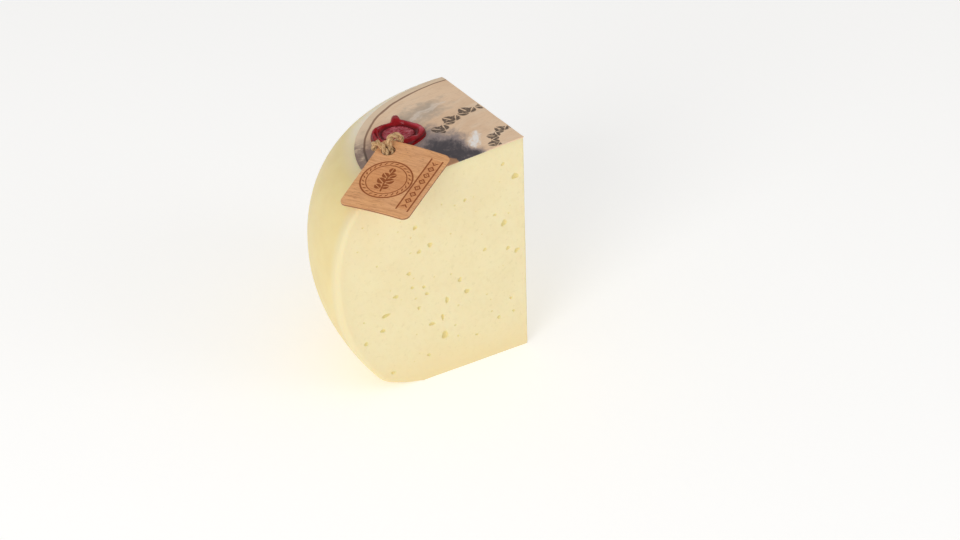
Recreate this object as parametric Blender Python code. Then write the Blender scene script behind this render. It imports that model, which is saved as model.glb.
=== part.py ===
"""A standing quarter of a pecorino wheel with its paper label, wax seal, twine and wooden tag.

Metres, +Z up. The wheel's axis rises from the build origin. The front cut lies in the plane y = 0
and runs from the axis towards -X; the second cut runs almost along +Y. At the end the whole part
is moved so that its origin is the middle of its box, on the ground.
"""

import math
import random

import bmesh
import bpy
from mathutils import Euler, Vector

# The wheel that the wedge was cut from.
WHEEL_HEIGHT = 0.1154
WIDEST_RADIUS = 0.1064
WIDEST_HEIGHT = 0.0679
TOP_FLAT_RADIUS = 0.0801
UPPER_FULLNESS = 2.0
FLANK_FULLNESS = 2.2
HEEL_RADIUS = 0.0834
HEEL_HEIGHT = 0.0063
HEEL_ROUNDING = 0.0026
UNDERSIDE_FULLNESS = 1.6
# The flat foot is smaller at the front cut, where the underside lifts off further in.
FOOT_FLAT_RADIUS = 0.0700
FOOT_FRONT_RADIUS = 0.0620
FOOT_EASING_ANGLE = math.radians(24)
WEDGE_ANGLE = math.radians(94.9)
# The top slopes down towards -X and +Y, and the axis leans, as in a wheel that sagged while it aged.
TOP_SLOPE = Vector((0.0709, -0.0438))
AXIS_LEAN = Vector((-0.0027, 0.0019))

# The soft edge between the rind and a cut.
RIND_EDGE_ROUNDING = 0.0032
FLAT_EDGE_ROUNDING = 0.0009
ROUNDING_STEPS = 3
SWEEP_STEPS = 22
UPPER_STEPS = 10
FLANK_STEPS = 8
HEEL_STEPS = 3
UNDERSIDE_STEPS = 4

# Gap between pieces that touch.
CLEARANCE = 0.0003

# The eyes in the paste, open at a cut: distance from the axis, height, half width, half height.
LARGE_EYES = (
    (0.0055, 0.0966, 0.0017, 0.0015),
    (0.0123, 0.1055, 0.0009, 0.0008),
    (0.0125, 0.0733, 0.0014, 0.0016),
    (0.0176, 0.0795, 0.0008, 0.0007),
    (0.0106, 0.0586, 0.0011, 0.0009),
    (0.0054, 0.0556, 0.0014, 0.0011),
    (0.0344, 0.0938, 0.0009, 0.0007),
    (0.0626, 0.0888, 0.0010, 0.0011),
    (0.0548, 0.0764, 0.0014, 0.0011),
    (0.0610, 0.0748, 0.0010, 0.0010),
    (0.0672, 0.0646, 0.0012, 0.0009),
    (0.0592, 0.0541, 0.0009, 0.0008),
    (0.0750, 0.0543, 0.0013, 0.0009),
    (0.0388, 0.0506, 0.0012, 0.0010),
    (0.0350, 0.0428, 0.0014, 0.0012),
    (0.0810, 0.0456, 0.0021, 0.0009),
    (0.0831, 0.0375, 0.0012, 0.0010),
    (0.0625, 0.0432, 0.0010, 0.0008),
    (0.0466, 0.0419, 0.0008, 0.0019),
    (0.0494, 0.0330, 0.0008, 0.0016),
    (0.0557, 0.0313, 0.0015, 0.0009),
    (0.0486, 0.0222, 0.0019, 0.0018),
    (0.0170, 0.0212, 0.0010, 0.0008),
    (0.0582, 0.0139, 0.0009, 0.0008),
)
SMALL_EYES_FRONT = 8
EYES_SECOND_CUT = 26
SMALL_EYE_RADIUS = (0.0006, 0.0009)
SECOND_CUT_EYE_RADIUS = (0.0007, 0.0017)
EYE_WIDTH_SHARES = (0.9, 1.4)
EYE_HEIGHT_SHARES = (0.8, 1.1)
EYE_DEPTH = 0.85
EYE_UNEVENNESS = 0.12
EYE_MARGIN = 0.007
EYE_SPACING = 0.004
EYE_SEED = 11

# The round paper label, stuck on a little off the axis towards +Y and cut with the wheel.
# Its gap is upright, and leaves the clearance also where the shoulder slopes.
LABEL_GAP = 0.00031
LABEL_RADIUS = 0.0780
LABEL_SHIFT = 0.0060
LABEL_THICKNESS = 0.0003
LABEL_STEPS = 36
LABEL_FLAT_SHARE = 0.995

# The wax seal: place on the label, ground radius, and its profile as share of radius and height.
SEAL_PLACE = Vector((-0.0477, 0.0433))
SEAL_RADIUS = 0.01275
SEAL_PROFILE = (
    (0.34, 0.0017),
    (0.62, 0.0016),
    (0.70, 0.0022),
    (0.81, 0.0026),
    (0.92, 0.0022),
    (1.00, 0.0010),
)
SEAL_UNEVENNESS = ((2, 0.030, 2.7), (3, 0.020, 2.1), (5, 0.018, 4.0))
SEAL_SPOKES = 56
DRIP_START_SHARE = 0.7
DRIP_DIRECTION = math.radians(63.5)
DRIP_REACH = 0.0055
DRIP_HALF_ANGLE = math.radians(9)
DRIP_HEIGHT = 0.0014

# The wooden tag. Its own frame has x across, y up its length and z out of its printed face.
TAG_WIDTH = 0.0357
TAG_LENGTH = 0.0466
TAG_THICKNESS = 0.0012
TAG_CORNER_RADIUS = 0.0034
TAG_CORNER_STEPS = 5
TAG_CENTRE = Vector((-0.0739, 0.0032, 0.1140))
TAG_TURN = Euler((math.radians(14.8), math.radians(1.4), math.radians(-59.9)))
TAG_BOW_RADIUS = 0.196
TAG_BOW_DIRECTION = Vector((math.sin(math.radians(74.8)), math.cos(math.radians(74.8))))
TAG_STRIP_WIDTH = 0.0045
TAG_HOLE_RADIUS = 0.0034
TAG_HOLE_STEPS = 16
TAG_HOLE_FROM_CORNER = Vector((0.0059, 0.0072))

# The twine: from the seal, up through the tag's hole, over the top edge, under the corner,
# over the side edge, down through the hole and back to the seal.
TWINE_DIAMETER = 0.0026
TWINE_POINT_SPACING = 0.0011
TWINE_END_DIRECTIONS = (math.radians(233), math.radians(216))
TWINE_END_LIFT = 0.0017
TWINE_END_GAP = 0.0010
# Millimetres from the tag's upper left corner: across, down its length, out of its face.
TWINE_ROUTE_ON_TAG = (
    (5.6, 0.4, -6.6),
    (6.4, 3.4, -5.9),
    (6.7, 5.3, -3.9),
    (6.2, 5.7, -0.8),
    (5.3, 5.0, 2.1),
    (5.1, 3.3, 3.8),
    (6.3, 1.0, 4.1),
    (7.4, -1.2, 2.4),
    (7.6, -2.1, -0.2),
    (6.6, -1.0, -2.9),
    (3.6, 2.2, -3.3),
    (0.4, 5.2, -3.2),
    (-1.8, 6.6, -1.8),
    (-2.1, 6.7, 0.7),
    (-0.3, 6.5, 2.6),
    (2.2, 7.1, 2.6),
    (4.2, 8.1, 1.2),
    (5.3, 8.6, -0.9),
    (5.0, 8.2, -3.9),
    (3.5, 5.0, -6.1),
    (1.0, 0.4, -7.0),
)
MILLIMETRE = 0.001


# ----------------------------------------------------------------------------- shared helpers

def clear_scene():
    for old in list(bpy.data.objects):
        bpy.data.objects.remove(old, do_unlink=True)


def material(name, colour, roughness, metallic=0.0):
    made = bpy.data.materials.new(name)
    made.use_nodes = True
    shader = made.node_tree.nodes["Principled BSDF"]
    shader.inputs["Base Color"].default_value = (*colour, 1.0)
    shader.inputs["Roughness"].default_value = roughness
    shader.inputs["Metallic"].default_value = metallic
    made.diffuse_color = (*colour, 1.0)
    return made


def new_object(name, data, finish, carrier):
    made = bpy.data.objects.new(name, data)
    bpy.context.scene.collection.objects.link(made)
    made.data.materials.append(finish)
    made.parent = carrier
    return made


def mesh_from(bm, name):
    bmesh.ops.recalc_face_normals(bm, faces=bm.faces)
    mesh = bpy.data.meshes.new(name)
    bm.to_mesh(mesh)
    bm.free()
    return mesh


def smooth(mesh, sharp_degrees):
    mesh.shade_smooth()
    mesh.set_sharp_from_angle(angle=math.radians(sharp_degrees))


# ----------------------------------------------------------------------------- the wheel's form

def in_wedge(radius, height, angle):
    """A point of an upright wheel, moved by the sloping top and the leaning axis."""
    flat = Vector((-radius * math.cos(angle), radius * math.sin(angle)))
    rise = min(height / WHEEL_HEIGHT, 1.0)
    z = height + TOP_SLOPE.dot(flat) * rise
    x, y = flat + AXIS_LEAN * (z / WHEEL_HEIGHT)
    return Vector((x, y, z))


def on_top(x, y, lift):
    """A point of the sloping flat top, lifted above the cheese."""
    return Vector((x, y, WHEEL_HEIGHT + TOP_SLOPE.dot(Vector((x, y)) - AXIS_LEAN) + lift))


def foot_radius(angle):
    """How far the flat foot reaches at an angle."""
    ease = math.sin(math.pi / 2 * min(angle / FOOT_EASING_ANGLE, 1.0)) ** 2
    return FOOT_FRONT_RADIUS + (FOOT_FLAT_RADIUS - FOOT_FRONT_RADIUS) * ease


def flank_point(share):
    """A point of the flank, which falls in from the widest radius to the heel."""
    return Vector((
        WIDEST_RADIUS - (WIDEST_RADIUS - HEEL_RADIUS) * share ** FLANK_FULLNESS,
        WIDEST_HEIGHT - (WIDEST_HEIGHT - HEEL_HEIGHT) * share,
    ))


def underside_point(radius, foot):
    rise = ((radius - foot) / (HEEL_RADIUS - foot)) ** UNDERSIDE_FULLNESS
    return Vector((radius, HEEL_HEIGHT * rise))


def rind_outline(angle):
    """The rind from the flat top down to the flat foot, as (radius, height) pairs."""
    points = []
    for step in range(UPPER_STEPS + 1):
        turn = math.pi / 2 * step / UPPER_STEPS
        reach = math.sin(turn) ** (2 / UPPER_FULLNESS)
        rise = math.cos(turn) ** (2 / UPPER_FULLNESS) if step < UPPER_STEPS else 0.0
        points.append(Vector((
            TOP_FLAT_RADIUS + (WIDEST_RADIUS - TOP_FLAT_RADIUS) * reach,
            WIDEST_HEIGHT + (WHEEL_HEIGHT - WIDEST_HEIGHT) * rise,
        )))
    flank_end = 1 - HEEL_ROUNDING / (WIDEST_HEIGHT - HEEL_HEIGHT)
    points += [flank_point(flank_end * step / FLANK_STEPS) for step in range(1, FLANK_STEPS + 1)]
    foot = foot_radius(angle)
    corner = Vector((HEEL_RADIUS, HEEL_HEIGHT))
    above = points[-1]
    below = underside_point(HEEL_RADIUS - HEEL_ROUNDING, foot)
    for step in range(1, HEEL_STEPS + 1):
        t = step / HEEL_STEPS
        points.append(above * (1 - t) ** 2 + corner * (2 * t * (1 - t)) + below * t ** 2)
    for step in range(1, UNDERSIDE_STEPS + 1):
        radius = below.x + (foot - below.x) * step / UNDERSIDE_STEPS
        points.append(underside_point(max(radius, foot), foot))
    return points


def outward(outline, index):
    """The outline's outward normal; straight up or down where it meets a flat."""
    if index in (0, len(outline) - 1):
        return Vector((0.0, 0.0))
    along = outline[index + 1] - outline[index - 1]
    return Vector((-along.y, along.x)).normalized()


def rounding_at(share):
    """The edge's rounding along the outline: full on the rind's flank, small at the flats."""
    fullness = math.sin(math.pi * min(max(share, 0.0), 1.0)) ** 0.5
    return FLAT_EDGE_ROUNDING + (RIND_EDGE_ROUNDING - FLAT_EDGE_ROUNDING) * fullness


def sweep_stations():
    """Stations from the front cut to the second cut, as (kind, value)."""
    turns = [math.pi / 2 * step / ROUNDING_STEPS for step in range(ROUNDING_STEPS)]
    middle = [("between", step / SWEEP_STEPS) for step in range(SWEEP_STEPS + 1)]
    return [("front", t) for t in turns] + middle + [("second", t) for t in reversed(turns)]


def skin_column(station):
    """One column of the rind from the top to the foot, with the rounding at the cuts."""
    kind, value = station
    shares = {"front": 0.0, "between": value, "second": 1.0}
    outline = rind_outline(WEDGE_ANGLE * shares[kind])
    return [skin_point(outline, index, station) for index in range(len(outline))]


def skin_point(outline, index, station):
    kind, value = station
    rounding = rounding_at(index / (len(outline) - 1))
    radius, height = outline[index]
    if kind == "between":
        margin = math.asin(rounding / radius)
        angle = margin + (WEDGE_ANGLE - 2 * margin) * value
        return in_wedge(radius, height, angle)
    inset = rounding * (1 - math.sin(value))
    radius, height = outline[index] - outward(outline, index) * inset
    margin = math.asin(rounding * (1 - math.cos(value)) / radius)
    return in_wedge(radius, height, margin if kind == "front" else WEDGE_ANGLE - margin)


def wedge_mesh():
    bm = bmesh.new()
    columns = [
        [bm.verts.new(point) for point in skin_column(station)] for station in sweep_stations()
    ]
    axis_top = bm.verts.new(in_wedge(0.0, WHEEL_HEIGHT, 0.0))
    axis_foot = bm.verts.new((0.0, 0.0, 0.0))
    for left, right in zip(columns, columns[1:]):
        for upper in range(len(left) - 1):
            bm.faces.new((left[upper], left[upper + 1], right[upper + 1], right[upper]))
    bm.faces.new([axis_top] + [column[0] for column in columns])
    bm.faces.new([axis_foot] + [column[-1] for column in reversed(columns)])
    bm.faces.new([axis_foot, axis_top] + columns[0])
    bm.faces.new([axis_top, axis_foot] + list(reversed(columns[-1])))
    return mesh_from(bm, "cheese")


# ----------------------------------------------------------------------------- the eyes

def half_outline_reach(height):
    """How far the paste reaches from the axis at a height."""
    outline = rind_outline(0.0)
    for upper, lower in zip(outline, outline[1:]):
        if lower.y <= height <= upper.y:
            share = (upper.y - height) / (upper.y - lower.y)
            return upper.x + (lower.x - upper.x) * share
    return 0.0


def scattered_eyes(count, radius_range, taken, rng):
    """Eyes that keep clear of the edges and of each other."""
    placed = list(taken)
    found = []
    while len(found) < count:
        height = rng.uniform(EYE_MARGIN, WHEEL_HEIGHT - 2 * EYE_MARGIN)
        distance = rng.uniform(EYE_MARGIN, half_outline_reach(height) - EYE_MARGIN)
        radius = rng.uniform(*radius_range)
        near = any(math.hypot(distance - e[0], height - e[1]) < EYE_SPACING for e in placed)
        if near:
            continue
        half_width = radius * rng.uniform(*EYE_WIDTH_SHARES)
        half_height = radius * rng.uniform(*EYE_HEIGHT_SHARES)
        eye = (distance, height, half_width, half_height)
        found.append(eye)
        placed.append(eye)
    return found


def add_eye(bm, eye, angle, rng):
    """A dented egg whose middle lies in the cut at the given angle."""
    distance, height, half_width, half_height = eye
    centre = in_wedge(distance, height, angle)
    along = (in_wedge(distance + half_width, height, angle) - centre).normalized()
    up = (in_wedge(distance, height + half_height, angle) - centre).normalized()
    through = along.cross(up).normalized()
    ball = bmesh.ops.create_icosphere(bm, subdivisions=2, radius=1.0)
    for vert in ball["verts"]:
        swell = 1 + rng.uniform(-EYE_UNEVENNESS, EYE_UNEVENNESS)
        a, b, c = vert.co * swell
        depth = EYE_DEPTH * (half_width + half_height) / 2
        vert.co = centre + along * (a * half_width) + up * (b * half_height) + through * (c * depth)


def eye_cutter():
    rng = random.Random(EYE_SEED)
    front = list(LARGE_EYES)
    front += scattered_eyes(SMALL_EYES_FRONT, SMALL_EYE_RADIUS, front, rng)
    second = scattered_eyes(EYES_SECOND_CUT, SECOND_CUT_EYE_RADIUS, (), rng)
    bm = bmesh.new()
    for eye in front:
        add_eye(bm, eye, 0.0, rng)
    for eye in second:
        add_eye(bm, eye, WEDGE_ANGLE, rng)
    return mesh_from(bm, "eye_cutter")


def make_cheese(carrier):
    mesh = wedge_mesh()
    finish = material("paste_and_rind", (0.86, 0.74, 0.46), 0.45)
    cheese = new_object("cheese", mesh, finish, carrier)
    smooth(mesh, 30)
    cutter = bpy.data.objects.new("eye_cutter", eye_cutter())
    bpy.context.scene.collection.objects.link(cutter)
    cutter.parent = carrier
    cutter.hide_render = True
    cutter.display_type = "WIRE"
    cut = cheese.modifiers.new("eyes", "BOOLEAN")
    cut.operation = "DIFFERENCE"
    cut.object = cutter
    cut.solver = "EXACT"


# ----------------------------------------------------------------------------- the label

def label_reach(angle):
    """How far the label reaches from the wheel's axis at an angle."""
    along = LABEL_SHIFT * math.sin(angle)
    return along + math.sqrt(LABEL_RADIUS ** 2 - LABEL_SHIFT ** 2 + along ** 2)


def top_height(radius):
    """The height of the wheel's top, which falls away beyond its flat."""
    beyond = max(0.0, radius - TOP_FLAT_RADIUS) / (WIDEST_RADIUS - TOP_FLAT_RADIUS)
    rise = (1 - beyond ** UPPER_FULLNESS) ** (1 / UPPER_FULLNESS)
    return WIDEST_HEIGHT + (WHEEL_HEIGHT - WIDEST_HEIGHT) * rise


def label_layer(bm, lift):
    """One face of the label: flat, with a rim that follows the wheel's shoulder."""
    tip = bm.verts.new(in_wedge(0.0, WHEEL_HEIGHT + lift, 0.0))
    flat = []
    rim = []
    for step in range(LABEL_STEPS + 1):
        angle = WEDGE_ANGLE * step / LABEL_STEPS
        reach = label_reach(angle)
        flat_reach = min(TOP_FLAT_RADIUS, reach * LABEL_FLAT_SHARE)
        flat.append(bm.verts.new(in_wedge(flat_reach, WHEEL_HEIGHT + lift, angle)))
        rim.append(bm.verts.new(in_wedge(reach, top_height(reach) + lift, angle)))
    bm.faces.new([tip] + flat)
    for index in range(LABEL_STEPS):
        bm.faces.new((flat[index], rim[index], rim[index + 1], flat[index + 1]))
    return [tip, flat[0]] + rim + [flat[-1]]


def make_label(carrier):
    bm = bmesh.new()
    lower, upper = (label_layer(bm, lift) for lift in (LABEL_GAP, LABEL_GAP + LABEL_THICKNESS))
    for index in range(len(lower)):
        following = (index + 1) % len(lower)
        bm.faces.new((lower[index], lower[following], upper[following], upper[index]))
    finish = material("printed_paper", (0.55, 0.42, 0.30), 0.55)
    new_object("label", mesh_from(bm, "label"), finish, carrier)


# ----------------------------------------------------------------------------- the wax seal

def seal_edge(direction):
    """The seal's radius without its drip."""
    waves = sum(size * math.sin(count * direction + start) for count, size, start in SEAL_UNEVENNESS)
    return SEAL_RADIUS * (1 + waves)


def drip_share(direction):
    away = math.remainder(direction - DRIP_DIRECTION, 2 * math.pi)
    return math.exp(-((away / DRIP_HALF_ANGLE) ** 2))


def seal_point(direction, share, height):
    reach = seal_edge(direction) * share
    outer = max(0.0, (share - DRIP_START_SHARE) / (1 - DRIP_START_SHARE))
    drip = drip_share(direction) * outer
    reach += DRIP_REACH * drip
    x = SEAL_PLACE.x + reach * math.cos(direction)
    y = SEAL_PLACE.y + reach * math.sin(direction)
    ground = LABEL_GAP + LABEL_THICKNESS + CLEARANCE
    return on_top(x, y, ground + height + DRIP_HEIGHT * drip * (height > 0))


def make_seal(carrier):
    bm = bmesh.new()
    directions = [2 * math.pi * spoke / SEAL_SPOKES for spoke in range(SEAL_SPOKES)]
    rings = [
        [bm.verts.new(seal_point(direction, share, height)) for direction in directions]
        for share, height in SEAL_PROFILE + ((1.0, 0.0),)
    ]
    middle = bm.verts.new(seal_point(0.0, 0.0, SEAL_PROFILE[0][1]))
    for spoke in range(SEAL_SPOKES):
        following = (spoke + 1) % SEAL_SPOKES
        bm.faces.new((middle, rings[0][spoke], rings[0][following]))
        for inner, outer in zip(rings, rings[1:]):
            bm.faces.new((inner[spoke], outer[spoke], outer[following], inner[following]))
    bm.faces.new(list(reversed(rings[-1])))
    mesh = mesh_from(bm, "wax_seal")
    smooth(mesh, 50)
    new_object("wax_seal", mesh, material("sealing_wax", (0.45, 0.02, 0.03), 0.25), carrier)


# ----------------------------------------------------------------------------- the wooden tag

def tag_point(x, y, z):
    """A point in the tag's own frame, bowed about its length and set on the wedge."""
    across = TAG_BOW_DIRECTION.x * x + TAG_BOW_DIRECTION.y * y
    turn = across / TAG_BOW_RADIUS
    radius = TAG_BOW_RADIUS + z
    flat = Vector((x, y)) + TAG_BOW_DIRECTION * (radius * math.sin(turn) - across)
    local = Vector((flat.x, flat.y, radius * math.cos(turn) - TAG_BOW_RADIUS))
    return TAG_CENTRE + TAG_TURN.to_matrix() @ local


def from_tag_corner(across, down, out):
    """A point given from the tag's upper left corner."""
    return tag_point(across - TAG_WIDTH / 2, TAG_LENGTH / 2 - down, out)


def rounded_rectangle(width, length, radius, steps):
    points = []
    for quarter in range(4):
        start = quarter * math.pi / 2
        middle_x = (width / 2 - radius) * (1 if quarter in (0, 3) else -1)
        middle_y = (length / 2 - radius) * (1 if quarter in (0, 1) else -1)
        for step in range(steps + 1):
            turn = start + math.pi / 2 * step / steps
            points.append((middle_x + radius * math.cos(turn), middle_y + radius * math.sin(turn)))
    return points


def circle(middle_x, middle_y, radius, steps):
    turns = [2 * math.pi * step / steps for step in range(steps)]
    return [(middle_x + radius * math.cos(t), middle_y + radius * math.sin(t)) for t in turns]


def make_tag(carrier):
    bm = bmesh.new()
    hole_x = TAG_HOLE_FROM_CORNER.x - TAG_WIDTH / 2
    hole_y = TAG_LENGTH / 2 - TAG_HOLE_FROM_CORNER.y
    loops = (
        rounded_rectangle(TAG_WIDTH, TAG_LENGTH, TAG_CORNER_RADIUS, TAG_CORNER_STEPS),
        circle(hole_x, hole_y, TAG_HOLE_RADIUS, TAG_HOLE_STEPS),
    )
    for loop in loops:
        verts = [bm.verts.new((x, y, 0.0)) for x, y in loop]
        for first, second in zip(verts, verts[1:] + verts[:1]):
            bm.edges.new((first, second))
    bmesh.ops.triangle_fill(bm, use_beauty=True, edges=bm.edges[:], normal=(0, 0, 1))
    reach = TAG_WIDTH / 2 + TAG_STRIP_WIDTH
    cut_at = -reach + TAG_STRIP_WIDTH
    while cut_at < reach:
        bmesh.ops.bisect_plane(
            bm,
            geom=bm.verts[:] + bm.edges[:] + bm.faces[:],
            plane_co=(TAG_BOW_DIRECTION * cut_at).to_3d(),
            plane_no=TAG_BOW_DIRECTION.to_3d(),
        )
        cut_at += TAG_STRIP_WIDTH
    bmesh.ops.recalc_face_normals(bm, faces=bm.faces)
    back = bmesh.ops.extrude_face_region(bm, geom=bm.faces[:])
    for vert in (v for v in back["geom"] if isinstance(v, bmesh.types.BMVert)):
        vert.co.z -= TAG_THICKNESS
    for vert in bm.verts:
        vert.co = tag_point(*vert.co)
    mesh = mesh_from(bm, "wood_tag")
    smooth(mesh, 35)
    new_object("wood_tag", mesh, material("beech_veneer", (0.56, 0.33, 0.18), 0.6), carrier)


# ----------------------------------------------------------------------------- the twine

def twine_end(direction):
    """Where a strand comes out of the wax."""
    reach = seal_edge(direction) + TWINE_END_GAP
    x = SEAL_PLACE.x + reach * math.cos(direction)
    y = SEAL_PLACE.y + reach * math.sin(direction)
    return on_top(x, y, LABEL_GAP + LABEL_THICKNESS + TWINE_END_LIFT)


def smooth_route(points, spacing):
    """Points at an even spacing along a Catmull-Rom curve through the given ones."""
    ends = [points[0] * 2 - points[1]] + points + [points[-1] * 2 - points[-2]]
    route = []
    for a, b, c, d in zip(ends, ends[1:], ends[2:], ends[3:]):
        steps = max(1, round((c - b).length / spacing))
        for step in range(steps):
            t = step / steps
            route.append(0.5 * (
                2 * b + (c - a) * t
                + (2 * a - 5 * b + 4 * c - d) * t ** 2
                + (3 * b - a - 3 * c + d) * t ** 3
            ))
    return route + [points[-1]]


def make_twine(carrier):
    first_end, last_end = (twine_end(direction) for direction in TWINE_END_DIRECTIONS)
    on_tag = [
        from_tag_corner(*(value * MILLIMETRE for value in point)) for point in TWINE_ROUTE_ON_TAG
    ]
    route = smooth_route([first_end] + on_tag + [last_end], TWINE_POINT_SPACING)
    curve = bpy.data.curves.new("twine", "CURVE")
    curve.dimensions = "3D"
    curve.bevel_depth = TWINE_DIAMETER / 2
    curve.bevel_resolution = 2
    curve.use_fill_caps = True
    spline = curve.splines.new("POLY")
    spline.points.add(len(route) - 1)
    for point, place in zip(spline.points, route):
        point.co = (*place, 1.0)
    new_object("twine", curve, material("jute_twine", (0.62, 0.50, 0.34), 0.9), carrier)


# ----------------------------------------------------------------------------- the whole part

def stand_on_origin(carrier):
    """Moves the part so that the middle of its box, on the ground, is the world's origin."""
    bpy.context.view_layer.update()
    graph = bpy.context.evaluated_depsgraph_get()
    corners = []
    for piece in carrier.children:
        if piece.hide_render:
            continue
        evaluated = piece.evaluated_get(graph)
        mesh = evaluated.to_mesh()
        corners += [evaluated.matrix_world @ vert.co for vert in mesh.vertices]
        evaluated.to_mesh_clear()
    middle = [(min(c[axis] for c in corners) + max(c[axis] for c in corners)) / 2 for axis in (0, 1)]
    carrier.location = (-middle[0], -middle[1], -min(c.z for c in corners))
    bpy.context.view_layer.update()


def main():
    clear_scene()
    carrier = bpy.data.objects.new("pecorino_wedge", None)
    bpy.context.scene.collection.objects.link(carrier)
    make_cheese(carrier)
    make_label(carrier)
    make_seal(carrier)
    make_tag(carrier)
    make_twine(carrier)
    stand_on_origin(carrier)


main()
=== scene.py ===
"""The looks of a pecorino wedge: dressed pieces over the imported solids, a stage and a camera.

Metres, +Z up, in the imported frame. The front cut faces -Y and runs from the wheel's axis to -X.
Lengths in the materials and the prints are millimetres.
"""

import math
import random

import bmesh
import bpy
from mathutils import Euler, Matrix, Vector, noise


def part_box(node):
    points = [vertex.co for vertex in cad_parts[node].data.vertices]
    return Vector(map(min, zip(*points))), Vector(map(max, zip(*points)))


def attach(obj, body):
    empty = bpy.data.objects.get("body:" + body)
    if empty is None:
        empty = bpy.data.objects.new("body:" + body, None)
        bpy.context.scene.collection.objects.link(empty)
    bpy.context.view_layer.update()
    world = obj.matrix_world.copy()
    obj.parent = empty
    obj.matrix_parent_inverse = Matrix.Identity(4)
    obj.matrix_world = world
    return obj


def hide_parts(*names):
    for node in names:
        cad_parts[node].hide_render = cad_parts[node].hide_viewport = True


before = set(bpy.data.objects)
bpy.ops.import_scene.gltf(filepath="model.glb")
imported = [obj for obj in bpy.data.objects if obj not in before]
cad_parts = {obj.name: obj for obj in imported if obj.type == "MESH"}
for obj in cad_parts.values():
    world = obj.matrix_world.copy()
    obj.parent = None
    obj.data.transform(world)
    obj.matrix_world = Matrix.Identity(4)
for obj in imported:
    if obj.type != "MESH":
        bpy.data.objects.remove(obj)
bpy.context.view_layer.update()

bl_info = {
    "name": "Pecorino wedge",
    "version": (1, 0, 0),
    "blender": (4, 5, 0),
    "location": "3D View > Sidebar > Pecorino",
    "description": "Builds a quarter of a pecorino wheel with its label, seal, tag and twine",
    "category": "Add Mesh",
}

MILLIMETRE = 0.001

# The wheel that the wedge was cut from, as in the solids.
WHEEL_HEIGHT = 0.1154
WIDEST_RADIUS = 0.1064
WIDEST_HEIGHT = 0.0679
TOP_FLAT_RADIUS = 0.0801
UPPER_FULLNESS = 2.0
FLANK_FULLNESS = 2.2
HEEL_RADIUS = 0.0834
HEEL_HEIGHT = 0.0063
HEEL_ROUNDING = 0.0026
UNDERSIDE_FULLNESS = 1.6
FOOT_FLAT_RADIUS = 0.0700
FOOT_FRONT_RADIUS = 0.0620
FOOT_EASING_ANGLE = math.radians(24)
WEDGE_ANGLE = math.radians(94.9)
CUT_ANGLES = (0.0, WEDGE_ANGLE)
TOP_SLOPE = Vector((0.0709, -0.0438))
AXIS_LEAN = Vector((-0.0027, 0.0019))
RIND_EDGE_ROUNDING = 0.0032
FLAT_EDGE_ROUNDING = 0.0009
# The label's circle lies a little off the axis towards +Y.
LABEL_RADIUS = 0.0780
LABEL_SHIFT = 0.0060
LABEL_GAP = 0.00031
LABEL_THICKNESS = 0.0003
CLEARANCE = 0.0003


def srgb(red, green, blue):
    """A colour given as 0 to 255 display values, as the linear one that shaders take."""
    display = [value / 255 for value in (red, green, blue)]
    return tuple(v / 12.92 if v <= 0.04045 else ((v + 0.055) / 1.055) ** 2.4 for v in display)


# ---------------- settings

def colour_setting(name, description, default):
    return bpy.props.FloatVectorProperty(
        name=name, description=description, subtype="COLOR", default=default, min=0.0, max=1.0)


def number_setting(name, description, default, most, least=0.0, unit="LENGTH"):
    return bpy.props.FloatProperty(
        name=name, description=description, unit=unit, default=default, min=least, max=most)


class CheeseSettings(bpy.types.PropertyGroup):
    """Colours and surface of the cheese."""

    paste: colour_setting("Paste", "Colour of the cut paste", srgb(240, 227, 183))
    under_rind: colour_setting(
        "Under the rind", "Colour of the paste next to the rind", srgb(234, 220, 175))
    rind: colour_setting("Rind", "Colour of the rind", srgb(238, 219, 158))
    # Eyes: a yellower tint that also paints shade into the eyes' hollows.
    eye: colour_setting("Eyes", "Colour deep in the eyes", srgb(232, 216, 150))
    waviness: number_setting("Waviness", "How far the knife wandered in a cut", 0.00018, 0.001)
    dents: number_setting("Dents", "Depth of the shallow hollows in the rind", 0.00045, 0.002)


class LabelSettings(bpy.types.PropertyGroup):
    """Print and thickness of the paper label."""

    paper: colour_setting("Paper", "Ground colour of the print", srgb(243, 210, 176))
    brush: colour_setting("Brush", "Colour of the dark brush strokes", srgb(56, 50, 58))
    motif: colour_setting("Motif", "Colour of the leaves and the ring", srgb(78, 60, 46))
    underside: number_setting(
        "Underside", "Height of the paper's back above the cheese", 0.00004, 0.0003)
    face: number_setting(
        "Face", "Height of the printed face above the cheese", 0.00046, 0.0006, least=0.0001)


class SealSettings(bpy.types.PropertyGroup):
    """Form and colour of the wax seal."""

    wax: colour_setting("Wax", "Colour of the wax", srgb(140, 6, 16))
    field: colour_setting("Pressed field", "Colour of the dusty pressed field", srgb(150, 44, 56))
    relief: number_setting("Relief", "Height of the pressed rosette", 0.00042, 0.001)


class TagSettings(bpy.types.PropertyGroup):
    """Wood and branding depth of the tag."""

    wood: colour_setting("Wood", "Colour of the beech", srgb(238, 178, 122))
    burn: colour_setting("Burnt line", "Colour of the burnt lines", srgb(140, 68, 14))
    burn_depth: number_setting("Burnt depth", "Depth of the burnt lines", 0.00012, 0.0004)


class TwineSettings(bpy.types.PropertyGroup):
    """Size and colour of the twine."""

    jute: colour_setting("Jute", "Colour of the fibres", srgb(252, 216, 168))
    ply_radius: number_setting(
        "Ply radius", "Half the thickness of one of the two plies", 0.00084, 0.0009, least=0.0003)
    lay: number_setting("Lay", "Length of one turn of the twist", 0.0064, 0.02, least=0.003)


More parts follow.
